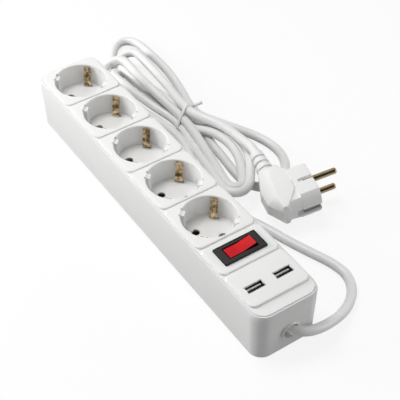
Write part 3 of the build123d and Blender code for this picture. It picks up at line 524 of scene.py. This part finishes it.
@dataclass
class SocketRow(SubAssembly):
    """Five raised pads with their wells, and the bars of contacts below."""

    count: int = 5

    def build(self) -> None:
        """Make the pads and the clips that show in their wells."""
        self.stand_in(*self.pads(), "earth_bus_bar")

    def pads(self) -> list[str]:
        """The names of the pads, from the far end."""
        return [f"socket_insert_{number}" for number in range(1, self.count + 1)]

    def dress(self) -> None:
        """Finish the pads in white and the contacts in brass."""
        self.paint({name: PADS for name in self.pads()})
        self.paint({name: BRASS for name in ("earth_bus_bar", "line_bus_bar", "neutral_bus_bar")})


@dataclass
class SwitchUnit(SubAssembly):
    """The pad with the rocker switch, its terminals and its lamp."""

    def build(self) -> None:
        """Make the pad, the bezel and the rocker."""
        self.stand_in("switch_plate", "switch_housing")
        self.stand_in("switch_rocker", body=ROCKER_BODY)

    def dress(self) -> None:
        """Finish the switch."""
        self.paint({"switch_plate": PADS, "switch_housing": BEZEL, "switch_rocker": ROCKER,
                    "switch_terminals": BRASS, "indicator_lamp": LAMP})


@dataclass
class UsbUnit(SubAssembly):
    """The pad with two USB ports, their contacts and the board that carries them."""

    port_x: float = 123.4
    port_side: float = 11.3
    rim_size: tuple[float, float] = (5.3, 12.9)
    rim_radius: float = 0.28
    rim_height: float = 43.3
    rim_sides: int = 12
    carrier_size: Point = (0.8, 11.3, 8.5)
    carrier_place: float = 123.15
    tongue_root: float = 33.4
    contact_length: float = 7.9
    contact_width: float = 1.0
    contact_thickness: float = 0.3
    contact_pitch: float = 2.33
    contact_count: int = 4
    shell_inner: float = 125.95
    spring_place: float = 39.6
    spring_spread: float = 5.2
    spring_count: int = 2
    spring_reach: float = 0.8
    spring_half: tuple[float, float] = (1.1, 2.1)
    spring_segments: int = 20
    spring_rings: int = 12

    def build(self) -> None:
        """Make the pad, the shells, the tongues and the small springs and contacts on them."""
        self.stand_in("usb_plate", "usb_shells", "usb_tongues")
        self.add("contact_carriers", self.build_carriers())
        self.add("contact_strips", self.build_contacts())
        self.add("shell_springs", self.build_springs())
        self.add("shell_rims", self.build_rims())

    def ports(self, x: float, z: float) -> list[Point]:
        """A point in each port."""
        return [(x, side * self.port_side, z) for side in (-1, 1)]

    def build_carriers(self) -> bpy.types.Object:
        """Grow the dark plate that carries the contacts on each tongue; its dark colour is partly its own and
        partly painted shade for the dim inside of the port.

        Returns:
            Both plates as one object.
        """
        tree = SizedTree("contact_carriers")
        sides = [tree.size(f"Carrier {axis}", value) for axis, value in zip("XYZ", self.carrier_size)]
        plate = tree.node("GeometryNodeMeshCube", {"Size": tree.vector(*sides)})
        height = self.tongue_root + self.carrier_size[2] / 2
        # Dark plates: partly their own colour, partly painted shade inside the ports
        return tree.grow(plate, self.ports(self.carrier_place, height), DARK_CASE)

    def build_rims(self) -> bpy.types.Object:
        """Grow the rolled rim of each shell.

        Returns:
            Both rims as one object.
        """
        tree = SizedTree("shell_rims")
        long, wide = (tree.size(f"Rim {axis}", value) for axis, value in zip("XY", self.rim_size))
        radius = tree.size("Rim radius", self.rim_radius)
        path = tree.node("GeometryNodeCurvePrimitiveQuadrilateral", {"Width": long, "Height": wide})
        section = tree.node("GeometryNodeCurvePrimitiveCircle", {"Resolution": self.rim_sides,
                                                                 "Radius": radius})
        rim = tree.node("GeometryNodeCurveToMesh", {"Curve": path, "Profile Curve": section})
        return tree.grow(rim, self.ports(self.port_x, self.rim_height), SCREW)

    def build_contacts(self) -> bpy.types.Object:
        """Grow a row of flat contacts on each tongue.

        Returns:
            All the contacts as one object.
        """
        tree = SizedTree("contact_strips")
        long = tree.size("Contact length", self.contact_length)
        wide = tree.size("Contact width", self.contact_width)
        thick = tree.size("Contact thickness", self.contact_thickness)
        pitch = tree.size("Pitch", self.contact_pitch)
        strip = tree.node("GeometryNodeMeshCube", {"Size": tree.vector(thick, wide, long)})
        face = self.carrier_place + self.carrier_size[0] / 2
        spots = self.ports(face, self.tongue_root + self.contact_length / 2)
        return tree.grow(tree.row(strip, self.contact_count, pitch), spots, SCREW)

    def build_springs(self) -> bpy.types.Object:
        """Grow the pair of rounded springs on the inside of each shell.

        Returns:
            All the springs as one object.
        """
        tree = SizedTree("shell_springs")
        reach = tree.size("Spring reach", self.spring_reach)
        spread = tree.size("Spring spread", self.spring_spread)
        wide, tall = (tree.size(f"Half {side}", value)
                      for side, value in zip(("width", "height"), self.spring_half))
        ball = tree.node("GeometryNodeMeshUVSphere", {"Segments": self.spring_segments,
                                                      "Rings": self.spring_rings, "Radius": 1.0})
        leaf = tree.node("GeometryNodeTransform", {"Geometry": ball, "Scale": tree.vector(reach, wide, tall)})
        leaf = tree.node("GeometryNodeSetShadeSmooth", {"Geometry": leaf})
        spots = self.ports(self.shell_inner, self.spring_place)
        return tree.grow(tree.row(leaf, self.spring_count, spread), spots, SHELL_STEEL)

    def dress(self) -> None:
        """Finish the ports and their board."""
        self.paint({"usb_plate": PADS, "usb_shells": SHELL_STEEL, "usb_tongues": TONGUE,
                    "contact_carriers": DARK_CASE, "contact_strips": SCREW, "shell_springs": SHELL_STEEL,
                    "shell_rims": SCREW, "usb_circuit_board": BOARD, "usb_transformer": DARK_CASE,
                    "usb_capacitors": DARK_CASE})


@dataclass
class Wiring(SubAssembly):
    """The surge board, the wires and the cord's clamp, all closed in by the housing."""

    def dress(self) -> None:
        """Finish the CAD pieces inside as they are."""
        self.paint({"surge_board": BOARD, "varistors": VARISTOR, "thermal_fuse": FUSE,
                    "line_wires": BROWN_WIRE, "neutral_wires": BLUE_WIRE, "earth_wire": GREEN_WIRE,
                    "cord_clamp": HOUSING, "clamp_screws": SCREW})


@dataclass
class AnglePlug(SubAssembly):
    """The angled plug with its two pins and the earth contacts in its grooves."""

    face: Point = (53.0, 92.1, 19.6)
    pin_way: Point = (0.22, 0.967, 0.128)
    cord_way: Point = (-0.97, 0.203, 0.136)
    lower_shoulder: float = -4.0
    underside: float = -12.6
    drawn_from: float = -26.0
    drawn_share: float = 0.62
    lifted_from: float = -14.0
    lifted_to: float = -28.0
    lifted_share: float = 0.5

    def build(self) -> None:
        """Make the body, the pins and the earth contacts."""
        self.stand_in("plug_body", "plug_pins", "plug_earth_contacts")
        self.draw_in_underside()

    def draw_in_underside(self) -> None:
        """Draw the back of the body in and up below its lower shoulder, as it is on top."""
        mesh = self.made["plug_body"].data
        ahead = Vector(self.pin_way).normalized()
        up = ahead.cross(Vector(self.cord_way)).normalized()
        middle = Vector(self.face) * MM
        work = bmesh.new()
        work.from_mesh(mesh)
        bmesh.ops.bisect_plane(work, geom=work.verts[:] + work.edges[:] + work.faces[:], dist=CUT_SNAP * MM,
                               plane_co=middle + up * self.lower_shoulder * MM, plane_no=up)
        for vert in work.verts:
            out = (vert.co - middle) / MM
            below = self.lower_shoulder - out.dot(up)
            if below <= 0:
                continue
            depth = min(below / (self.lower_shoulder - self.underside), 1.0)
            back = (self.lifted_from - out.dot(ahead)) / (self.lifted_from - self.lifted_to)
            lift = below * self.lifted_share * min(max(back, 0.0), 1.0)
            inward = max(self.drawn_from - out.dot(ahead), 0.0) * depth * self.drawn_share
            vert.co += (up * lift + ahead * inward) * MM
        finish_mesh(work, mesh)

    def dress(self) -> None:
        """Finish the plug."""
        self.paint({"plug_body": PLUG, "plug_pins": NICKEL, "plug_earth_contacts": SHELL_STEEL})


@dataclass(frozen=True)
class Slot:
    """Where one pass of the cord lies inside the tie, in millimetres."""

    y: float
    z: float

    def at(self, x: float) -> Point:
        """The pass's point at a place along the hank."""
        return x, self.y, self.z


LOW, MIDDLE = 3.8, 9.6
LOW_LEFT, LOW_MID, LOW_RIGHT = Slot(59.2, LOW), Slot(65.5, LOW), Slot(71.8, LOW)
LEFT, MID, RIGHT = Slot(62.3, MIDDLE), Slot(68.6, MIDDLE), Slot(74.9, MIDDLE)
TOP = Slot(67.5, 15.3)
TIE_X, TIE_ROOM = -76.0, 7.0
NEAR_X, FAR_X = TIE_X + TIE_ROOM, TIE_X - TIE_ROOM
CORD_DIAMETER = 7.2


@dataclass
class CordTie(SubAssembly):
    """The wire tie round the hank, with its twisted ends."""

    passes: tuple[Slot, ...] = (LOW_LEFT, LOW_MID, LOW_RIGHT, LEFT, MID, RIGHT, TOP)
    slant: float = 18.0
    width: float = 2.5
    thickness: float = 0.7
    wall_room: float = 0.1
    floor_room: float = 0.1
    crease: float = 40.0
    round_steps: int = 32
    tail_way: Point = (0.2532, 0.9622, 0.1013)
    tail_angle: float = 45.0
    twist_length: float = 3.6
    twist_radius: float = 0.75
    twist_turns: float = 2.0
    twist_steps: int = 24
    strand_radius: float = 0.62
    strand_sides: int = 10
    end_length: float = 2.4
    end_spread: float = 0.7

    def build(self) -> None:
        """Make the band and the twist."""
        band = self.build_band()
        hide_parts("twist_tie")
        self.add("twist_tie", band)
        self.add("tie_twist", self.build_twist())

    def outline(self) -> list[tuple[float, float]]:
        """The tight outline of the passes, from one side to the other below and back over the top.

        Returns:
            Its corners, in order, across and up.
        """
        reach = CORD_DIAMETER / 2 + self.wall_room
        turn = 2 * math.pi / self.round_steps
        cloud = sorted({(slot.y + reach * math.cos(k * turn), slot.z + reach * math.sin(k * turn))
                        for slot in self.passes for k in range(self.round_steps)})
        corners = []
        for row in (cloud, cloud[::-1]):
            chain: list[tuple[float, float]] = []
            for spot in row:
                while len(chain) > 1 and ((chain[-1][0] - chain[-2][0]) * (spot[1] - chain[-2][1])
                                          <= (chain[-1][1] - chain[-2][1]) * (spot[0] - chain[-2][0])):
                    chain.pop()
                chain.append(spot)
            corners += chain[:-1]
        return corners

    def place(self, across: float, up: float, along: float = 0.0) -> Point:
        """A point of the slanted band, in millimetres."""
        lean = math.tan(math.radians(self.slant))
        return TIE_X - (across - MID.y) * lean + along, across, max(up, self.floor_room)

    def build_band(self) -> bpy.types.Object:
        """Close a flat band round the passes.

        Returns:
            The band.
        """
        inner = self.outline()
        middle = sum(slot.y for slot in self.passes) / len(self.passes)
        outer = []
        for y, z in inner:
            away = Vector((y - middle, z - MIDDLE)).normalized() * self.thickness
            outer.append((y + away.x, z + away.y))
        half = self.width / 2
        work = bmesh.new()
        rings = [[work.verts.new(Vector(self.place(y, z, along)) * MM) for y, z in ring]
                 for ring, along in ((inner, -half), (outer, -half), (outer, half), (inner, half))]
        count = len(inner)
        for first, second in zip(rings, rings[1:] + rings[:1]):
            for k in range(count):
                work.faces.new((first[k], second[k], second[(k + 1) % count], first[(k + 1) % count]))
        bmesh.ops.recalc_face_normals(work, faces=work.faces)
        mesh = bpy.data.meshes.new("tie_band")
        finish_mesh(work, mesh, self.crease)
        return placed("tie_band", mesh)

    def build_twist(self) -> bpy.types.Object:
        """Grow two strands wound round each other along the tail.

        Returns:
            The twist as one object.
        """
        tree = SizedTree("tie_twist")
        length = tree.size("Twist length", self.twist_length)
        radius = tree.size("Twist radius", self.twist_radius)
        strand = tree.size("Strand radius", self.strand_radius)
        way_out = tree.size("End length", self.end_length)
        section = tree.node("GeometryNodeCurvePrimitiveCircle", {"Resolution": self.strand_sides,
                                                                 "Radius": strand})
        winding = tree.node("GeometryNodeCurveSpiral", {"Resolution": self.twist_steps, "Height": length,
                                                        "Rotations": self.twist_turns, "Start Radius": radius,
                                                        "End Radius": radius})
        foot = tree.vector(z=length)
        ways = [(0.0, side * self.end_spread, 1.0) for side in (-1, 1)]
        ends = [tree.node("GeometryNodeCurvePrimitiveLine", {"Start": foot, "Direction": way,
                                                             "Length": way_out}, mode="DIRECTION")
                for way in ways]
        wires = [tree.node("GeometryNodeCurveToMesh", {"Curve": path, "Profile Curve": section,
                                                       "Fill Caps": True}) for path in (winding, *ends)]
        wires.insert(1, tree.moved(wires[0], tree.vector(), (0.0, 0.0, math.pi)))
        both = tree.node("GeometryNodeJoinGeometry", {"Geometry": wires})
        piece = tree.grow(tree.node("GeometryNodeSetShadeSmooth", {"Geometry": both}), [(0.0, 0.0, 0.0)], TIE)
        turn = Vector(self.tail_way).to_track_quat("Z", "Y").to_matrix().to_4x4()
        out = CORD_DIAMETER / 2 + self.thickness
        angle = math.radians(self.tail_angle)
        root = self.place(RIGHT.y + out * math.cos(angle), RIGHT.z + out * math.sin(angle))
        piece.data.transform(Matrix.Translation(Vector(root) * MM) @ turn)
        return piece

    def dress(self) -> None:
        """Finish the tie."""
        self.paint({"twist_tie": TIE, "tie_twist": TIE})


@dataclass(frozen=True)
class HankTurn:
    """One turn of the hank, in millimetres: out on one leg, round its end and back on the other."""

    end: tuple[float, float]
    bend: float
    rise: float
    enter: Slot
    leave: Slot
    enter_side: int
    bow_in: float = 0.0
    bow_out: float = 0.0
    lift_in: float = 0.0
    lift_out: float = 0.0
    tilt: float = 0.0
    leg_steps: int = 5
    arc_steps: int = 4

    def leg(self, slot: Slot, side: int, bow: float, lift: float) -> list[Point]:
        """Points from the tie to the start of the end bend.

        Args:
            slot: Where the leg leaves the tie.
            side: Which side of the end bend it runs to.
            bow: How far it bows sideways.
            lift: How far it is lifted half way, over what lies below.

        Returns:
            The points, in millimetres.
        """
        start = TIE_X + math.copysign(TIE_ROOM, self.end[0] - TIE_X)
        target = self.end[1] + side * self.bend
        height = self.rise + side * self.tilt
        points = [slot.at(start)]
        for i in range(1, self.leg_steps + 1):
            u = i / (self.leg_steps + 1)
            points.append((start + (self.end[0] - start) * u,
                           slot.y + (target - slot.y) * u + bow * math.sin(math.pi * u),
                           slot.z + (height - slot.z) * u * u + lift * math.sin(math.pi * u)))
        run_in = self.bend * math.tan(math.pi / self.arc_steps / 2)
        points.append((self.end[0] - math.copysign(run_in, self.end[0] - TIE_X), target, height))
        return points

    def arc(self) -> list[Point]:
        """Points round the end bend, from the entering side to the other.

        Returns:
            The points, in millimetres.
        """
        way = math.copysign(1, self.end[0] - TIE_X)
        step = math.pi / self.arc_steps
        reach = self.bend / math.cos(step / 2)
        angles = [self.enter_side * (math.pi / 2 - (k + 0.5) * step) for k in range(self.arc_steps)]
        return [(self.end[0] + way * reach * math.cos(angle), self.end[1] + reach * math.sin(angle),
                 self.rise + self.tilt * math.sin(angle)) for angle in angles]

    def way_back(self) -> list[Point]:
        """The second leg, from the end bend to the tie."""
        return self.leg(self.leave, -self.enter_side, self.bow_out, self.lift_out)[::-1]

    def points(self) -> list[Point]:
        """The whole turn, in order along the cord."""
        return self.leg(self.enter, self.enter_side, self.bow_in, self.lift_in) + self.arc() + self.way_back()


@dataclass
class MainsCord(SubAssembly):
    """The cord from the housing to the plug, its hank in between. Its length and exit are in metres."""

    diameter: float = CORD_DIAMETER
    length: float = 1.87
    exit: Point = (0.1511, 0.0, 0.0175)
    floor: float = 3.7
    spline_order: int = 3
    spline_steps: int = 8
    section_steps: int = 6
    low_lobe: HankTurn = HankTurn((-153.5, 47.6), 10.5, 12.6, LEFT, LEFT, -1, bow_out=-3.4, lift_out=5.4,
                                  tilt=3.6)
    short_lobe: HankTurn = HankTurn((-149.5, 51.0), 6.5, 7.2, LOW_RIGHT, LOW_LEFT, 1, bow_in=-3.0,
                                    bow_out=-2.0, lift_out=2.0, tilt=-2.9)
    top_lobe: HankTurn = HankTurn((-159.0, 64.5), 9.0, 11.6, MID, TOP, -1, bow_in=-2.0, bow_out=1.0,
                                  lift_in=1.2, tilt=2.5)

    def housing_run(self) -> list[Point]:
        """From the clamp inside the housing, out of the bushing and along the floor to the hank."""
        low = self.floor
        return [
            (128, 0, 17.5), (138.2, 0.03, 17.53), (148.5, 0, 17.47), (155, 8, 16.8), (156, 19.5, 14),
            (153.5, 32, 9.8), (149.5, 44, 5.6), (143.5, 55.5, low), (135, 64.5, low), (122.5, 69.5, low),
            (108, 67, low), (92, 60.5, low), (74, 54, low), (57, 49.2, low), (38, 41.5, low), (15, 37.2, low),
            (-10, 37.6, low), (-31, 43.6, low), (-49, 49.4, low), (-67, 51.4, low), (-86, 48, low),
            (-108, 43.2, low), (-130, 40.4, low), (-148, 39.2, 5.6),
        ]

    def inner_ring(self) -> list[Point]:
        """The near turn that lies inside the other, over the side loop."""
        return [
            LEFT.at(NEAR_X), (-57, 60.6, 9.8), (-44, 58.4, 10), (-30, 55.6, 10.3), (-16, 52.6, 10.6),
            (-4, 49.9, 11), (4, 48.2, 11), (10.4, 47.4, 11), (15.2, 49.8, 11), (16.4, 54.6, 11), (13, 59, 11),
            (4, 64.6, 11), (-7.2, 70.6, 11), (-18.6, 74, 11), (-30.5, 74.8, 11), (-41, 72.6, 11),
            (-48.5, 69.3, 10.8), (-55.5, 66.6, 8.4), (-62, 65.6, 5.2), LOW_MID.at(NEAR_X),
        ]

    def wide_lobe(self) -> list[Point]:
        """The far turn that lies on the floor below the others and runs furthest out."""
        return [
            LOW_MID.at(FAR_X), (-99.5, 61.5, LOW), (-116, 55.1, LOW), (-132.5, 49.2, LOW), (-149, 47.2, LOW),
            (-163, 50.2, LOW), (-175.5, 56.8, LOW), (-186.5, 64.2, LOW), (-193.4, 72.2, LOW),
            (-194.6, 80.4, LOW), (-187.6, 87.2, LOW), (-176.8, 88.2, 4.4), (-165.5, 87.7, 5.6),
            (-149, 87.2, 7), (-132.5, 85.7, 8.2), (-116, 83, 9), (-99.5, 79.2, 9.4), RIGHT.at(FAR_X),
        ]

    def side_loop(self) -> list[Point]:
        """The near turn that lies on the floor and runs wide, behind the plug."""
        return [
            RIGHT.at(NEAR_X), (-58, 81, 9.2), (-47.5, 87.8, 8), (-38, 94.5, 6.4), (-28.6, 101, 4.8),
            (-17, 105.4, LOW), (-4, 106.4, LOW), (8, 102.8, LOW), (17.5, 95.4, LOW), (23.4, 85.6, LOW),
            (23, 75, LOW), (16.6, 67.2, LOW), (7, 63.6, LOW), (-6, 64, LOW), (-20, 65.7, LOW),
            (-34, 66.9, LOW), (-48, 68.6, LOW), (-59, 70.8, LOW), LOW_RIGHT.at(NEAR_X),
        ]

    def outer_ring(self) -> list[Point]:
        """The near turn that lies on top, round the inner one."""
        return [
            LOW_LEFT.at(NEAR_X), (-57, 57, 4), (-43, 54, 4.9), (-29, 50.8, 6.5), (-15, 47.4, 8.8),
            (-1, 43.8, 11.8), (11, 41, 14.4), (20.4, 41.4, 15.5), (25.6, 47.6, 15.5), (24, 55.6, 15.5),
            (18.4, 61.6, 15.4), (11.4, 66.9, 15), (3.4, 72.6, 14), (-6.2, 78.3, 13), (-16.2, 82, 12),
            (-28.1, 84, 11.2), (-42, 83, 10.6), (-56, 76.6, 10), MID.at(NEAR_X),
        ]

    def plug_run(self) -> list[Point]:
        """From the hank along its outer ring and into the plug's strain relief."""
        return [
            (NEAR_X, 68.3, TOP.z), (-58, 72.8, 15.4), (-49, 76.8, 15.5), (-39.8, 79.5, 15.9),
            (-31, 80.2, 16.8), (-21.8, 79.6, 18.8), (-12.6, 78.6, 21.6), (-4.2, 78.4, 23.3),
            (3.85, 77.06, 22.52), (7.7, 76.25, 21.98),
        ]

    def line(self) -> list[Point]:
        """Every control point of the cord, in order.

        Returns:
            The points, in millimetres.
        """
        return (self.housing_run() + self.low_lobe.arc() + self.low_lobe.way_back() + self.inner_ring()
                + self.wide_lobe() + self.side_loop() + self.short_lobe.points() + self.outer_ring()
                + self.top_lobe.points() + self.plug_run())

    def build(self) -> None:
        """Make the bushing, and the cord as one open spline with a round section."""
        self.stand_in("cord_bushing")
        curve = bpy.data.curves.new("mains_cord", "CURVE")
        curve.dimensions = "3D"
        spline = curve.splines.new("NURBS")
        points = self.line()
        spline.points.add(len(points) - 1)
        for target, (x, y, z) in zip(spline.points, points):
            target.co = (x * MM, y * MM, z * MM, 1)
            target.radius = MM
        spline.order_u = self.spline_order
        spline.use_endpoint_u = True
        spline.resolution_u = self.spline_steps
        curve.bevel_depth = self.diameter / 2
        curve.bevel_resolution = self.section_steps
        curve.use_fill_caps = True
        cord = placed("mains_cord", curve)
        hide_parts("cord_tube", "cord_hank", "cord_lead")
        self.add("mains_cord", cord)

    def dress(self) -> None:
        """Finish the cord and its bushing."""
        self.paint({"mains_cord": SHEATH, "cord_bushing": SHEATH})

    def declare(self, *others: SubAssembly) -> None:
        """Do nothing: no facts about the cord or what is on it are stated here.

        Args:
            others: The groups whose pieces are on the cord. Not used.
        """


@dataclass(frozen=True)
class StudioLamp:
    """A square lamp that shines on the object: its place and side in metres, its power in watts."""

    name: str
    place: Point
    side: float
    power: float


@dataclass
class Studio:
    """A pale floor, soft light and the camera of the photograph, in metres, its lens in millimetres."""

    camera_place: Point = (0.4804, -0.2899, 0.5715)
    forward: Point = (-0.5903, 0.3920, -0.7056)
    right: Point = (0.5570, 0.8305, -0.0047)
    lens: float = 97.69
    sensor: float = 36.0
    nearest: float = 0.01
    floor_size: float = 6.0
    floor_white: float = 0.96
    floor_bounce: float = 0.3
    floor_glow: float = 0.85
    key_light: StudioLamp = StudioLamp("key_light", (-0.55, -0.75, 0.42), 0.4, 5.5)
    top_light: StudioLamp = StudioLamp("top_light", (-0.34, -0.12, 1.05), 0.45, 5.6)
    side_light: StudioLamp = StudioLamp("side_light", (0.40, 0.42, 0.14), 0.25, 0.65)
    world_light: float = 0.31
    world_shown: float = 0.9
    dark_side: Point = (0.62, -0.46, 0.635)
    dark_fall: tuple[float, float] = (0.3, 0.75)
    dark_share: float = 0.06

    def build(self) -> None:
        """Make the floor, the lamps, the world and the camera."""
        self.build_floor()
        for lamp in (self.key_light, self.top_light, self.side_light):
            self.build_lamp(lamp)
        self.build_world()
        self.build_camera()
        bpy.context.scene.view_settings.view_transform = "Standard"

    def build_floor(self) -> None:
        """Lay a white floor that keeps the object's shadow and throws little light back."""
        mesh = bpy.data.meshes.new("floor")
        half = self.floor_size / 2
        corners = [(-half, -half, 0), (half, -half, 0), (half, half, 0), (-half, half, 0)]
        mesh.from_pydata(corners, [], [(0, 1, 2, 3)])
        floor = placed("floor", mesh)
        made = bpy.data.materials.new("floor_white")
        made.use_nodes = True
        made.node_tree.nodes.clear()
        tree = WiredNodes(made.node_tree)
        seen = tree.maths("MAXIMUM", tree.ray("Is Camera Ray"), tree.ray("Is Glossy Ray"))
        tone = tree.span(seen, target=(self.floor_bounce, self.floor_white))
        matt = tree.node("ShaderNodeBsdfDiffuse", {"Color": tone})
        glow = tree.node("ShaderNodeEmission", {"Strength": 1.0})
        share = tree.maths("MULTIPLY", seen, self.floor_glow)
        both = tree.node("ShaderNodeMixShader", {0: share, 1: matt, 2: glow})
        tree.feed(made.node_tree.nodes.new("ShaderNodeOutputMaterial"), {"Surface": both})
        mesh.materials.append(made)

    def build_lamp(self, lamp: StudioLamp) -> None:
        """Hang a lamp that is turned towards the object.

        Args:
            lamp: The lamp.
        """
        light = bpy.data.lights.new(lamp.name, "AREA")
        light.size = lamp.side
        light.energy = lamp.power
        holder = placed(lamp.name, light)
        holder.location = lamp.place
        holder.rotation_euler = (-Vector(lamp.place)).to_track_quat("-Z", "Y").to_euler()

    def build_world(self) -> None:
        """Fill the rest from a pale world with one dark side, which metal and gloss pick up."""
        world = bpy.data.worlds.new("studio")
        world.use_nodes = True
        tree = WiredNodes(world.node_tree)
        way = tree.node("ShaderNodeTexCoord", {}, "Generated")
        facing = tree.node("ShaderNodeVectorMath", {0: way, 1: self.dark_side}, "Value",
                           operation="DOT_PRODUCT")
        shown = tree.span(facing, self.dark_fall, (self.world_shown, self.dark_share))
        mirrored = tree.maths("MAXIMUM", tree.ray("Is Glossy Ray"), tree.ray("Is Transmission Ray"))
        level = tree.span(mirrored, target=(self.world_light, shown))
        strength = tree.maths("MAXIMUM", level, tree.ray("Is Camera Ray"))
        tree.feed(world.node_tree.nodes["Background"], {"Color": (1, 1, 1, 1), "Strength": strength})
        bpy.context.scene.world = world

    def build_camera(self) -> None:
        """Stand the camera where the photograph was taken from."""
        ahead = Vector(self.forward).normalized()
        across = Vector(self.right)
        across = (across - ahead * across.dot(ahead)).normalized()
        up = across.cross(ahead)
        turn = Matrix((across, up, -ahead)).transposed().to_4x4()
        lens = bpy.data.cameras.new("photo_camera")
        lens.lens = self.lens
        lens.sensor_width = self.sensor
        lens.clip_start = self.nearest
        holder = placed("photo_camera", lens)
        holder.matrix_world = Matrix.Translation(self.camera_place) @ turn
        bpy.context.scene.camera = holder


def main() -> None:
    """Build and dress every group of pieces, in order."""
    logging.basicConfig(level=logging.INFO, format="%(name)s: %(message)s")
    Studio().build()
    cord, tie, plug = MainsCord(), CordTie(), AnglePlug()
    for group in (Housing(), SocketRow(), SwitchUnit(), UsbUnit(), cord, tie, plug):
        group.build()
        group.dress()
    Wiring().dress()
    cord.declare(tie, plug)


if __name__ == "__main__":
    main()
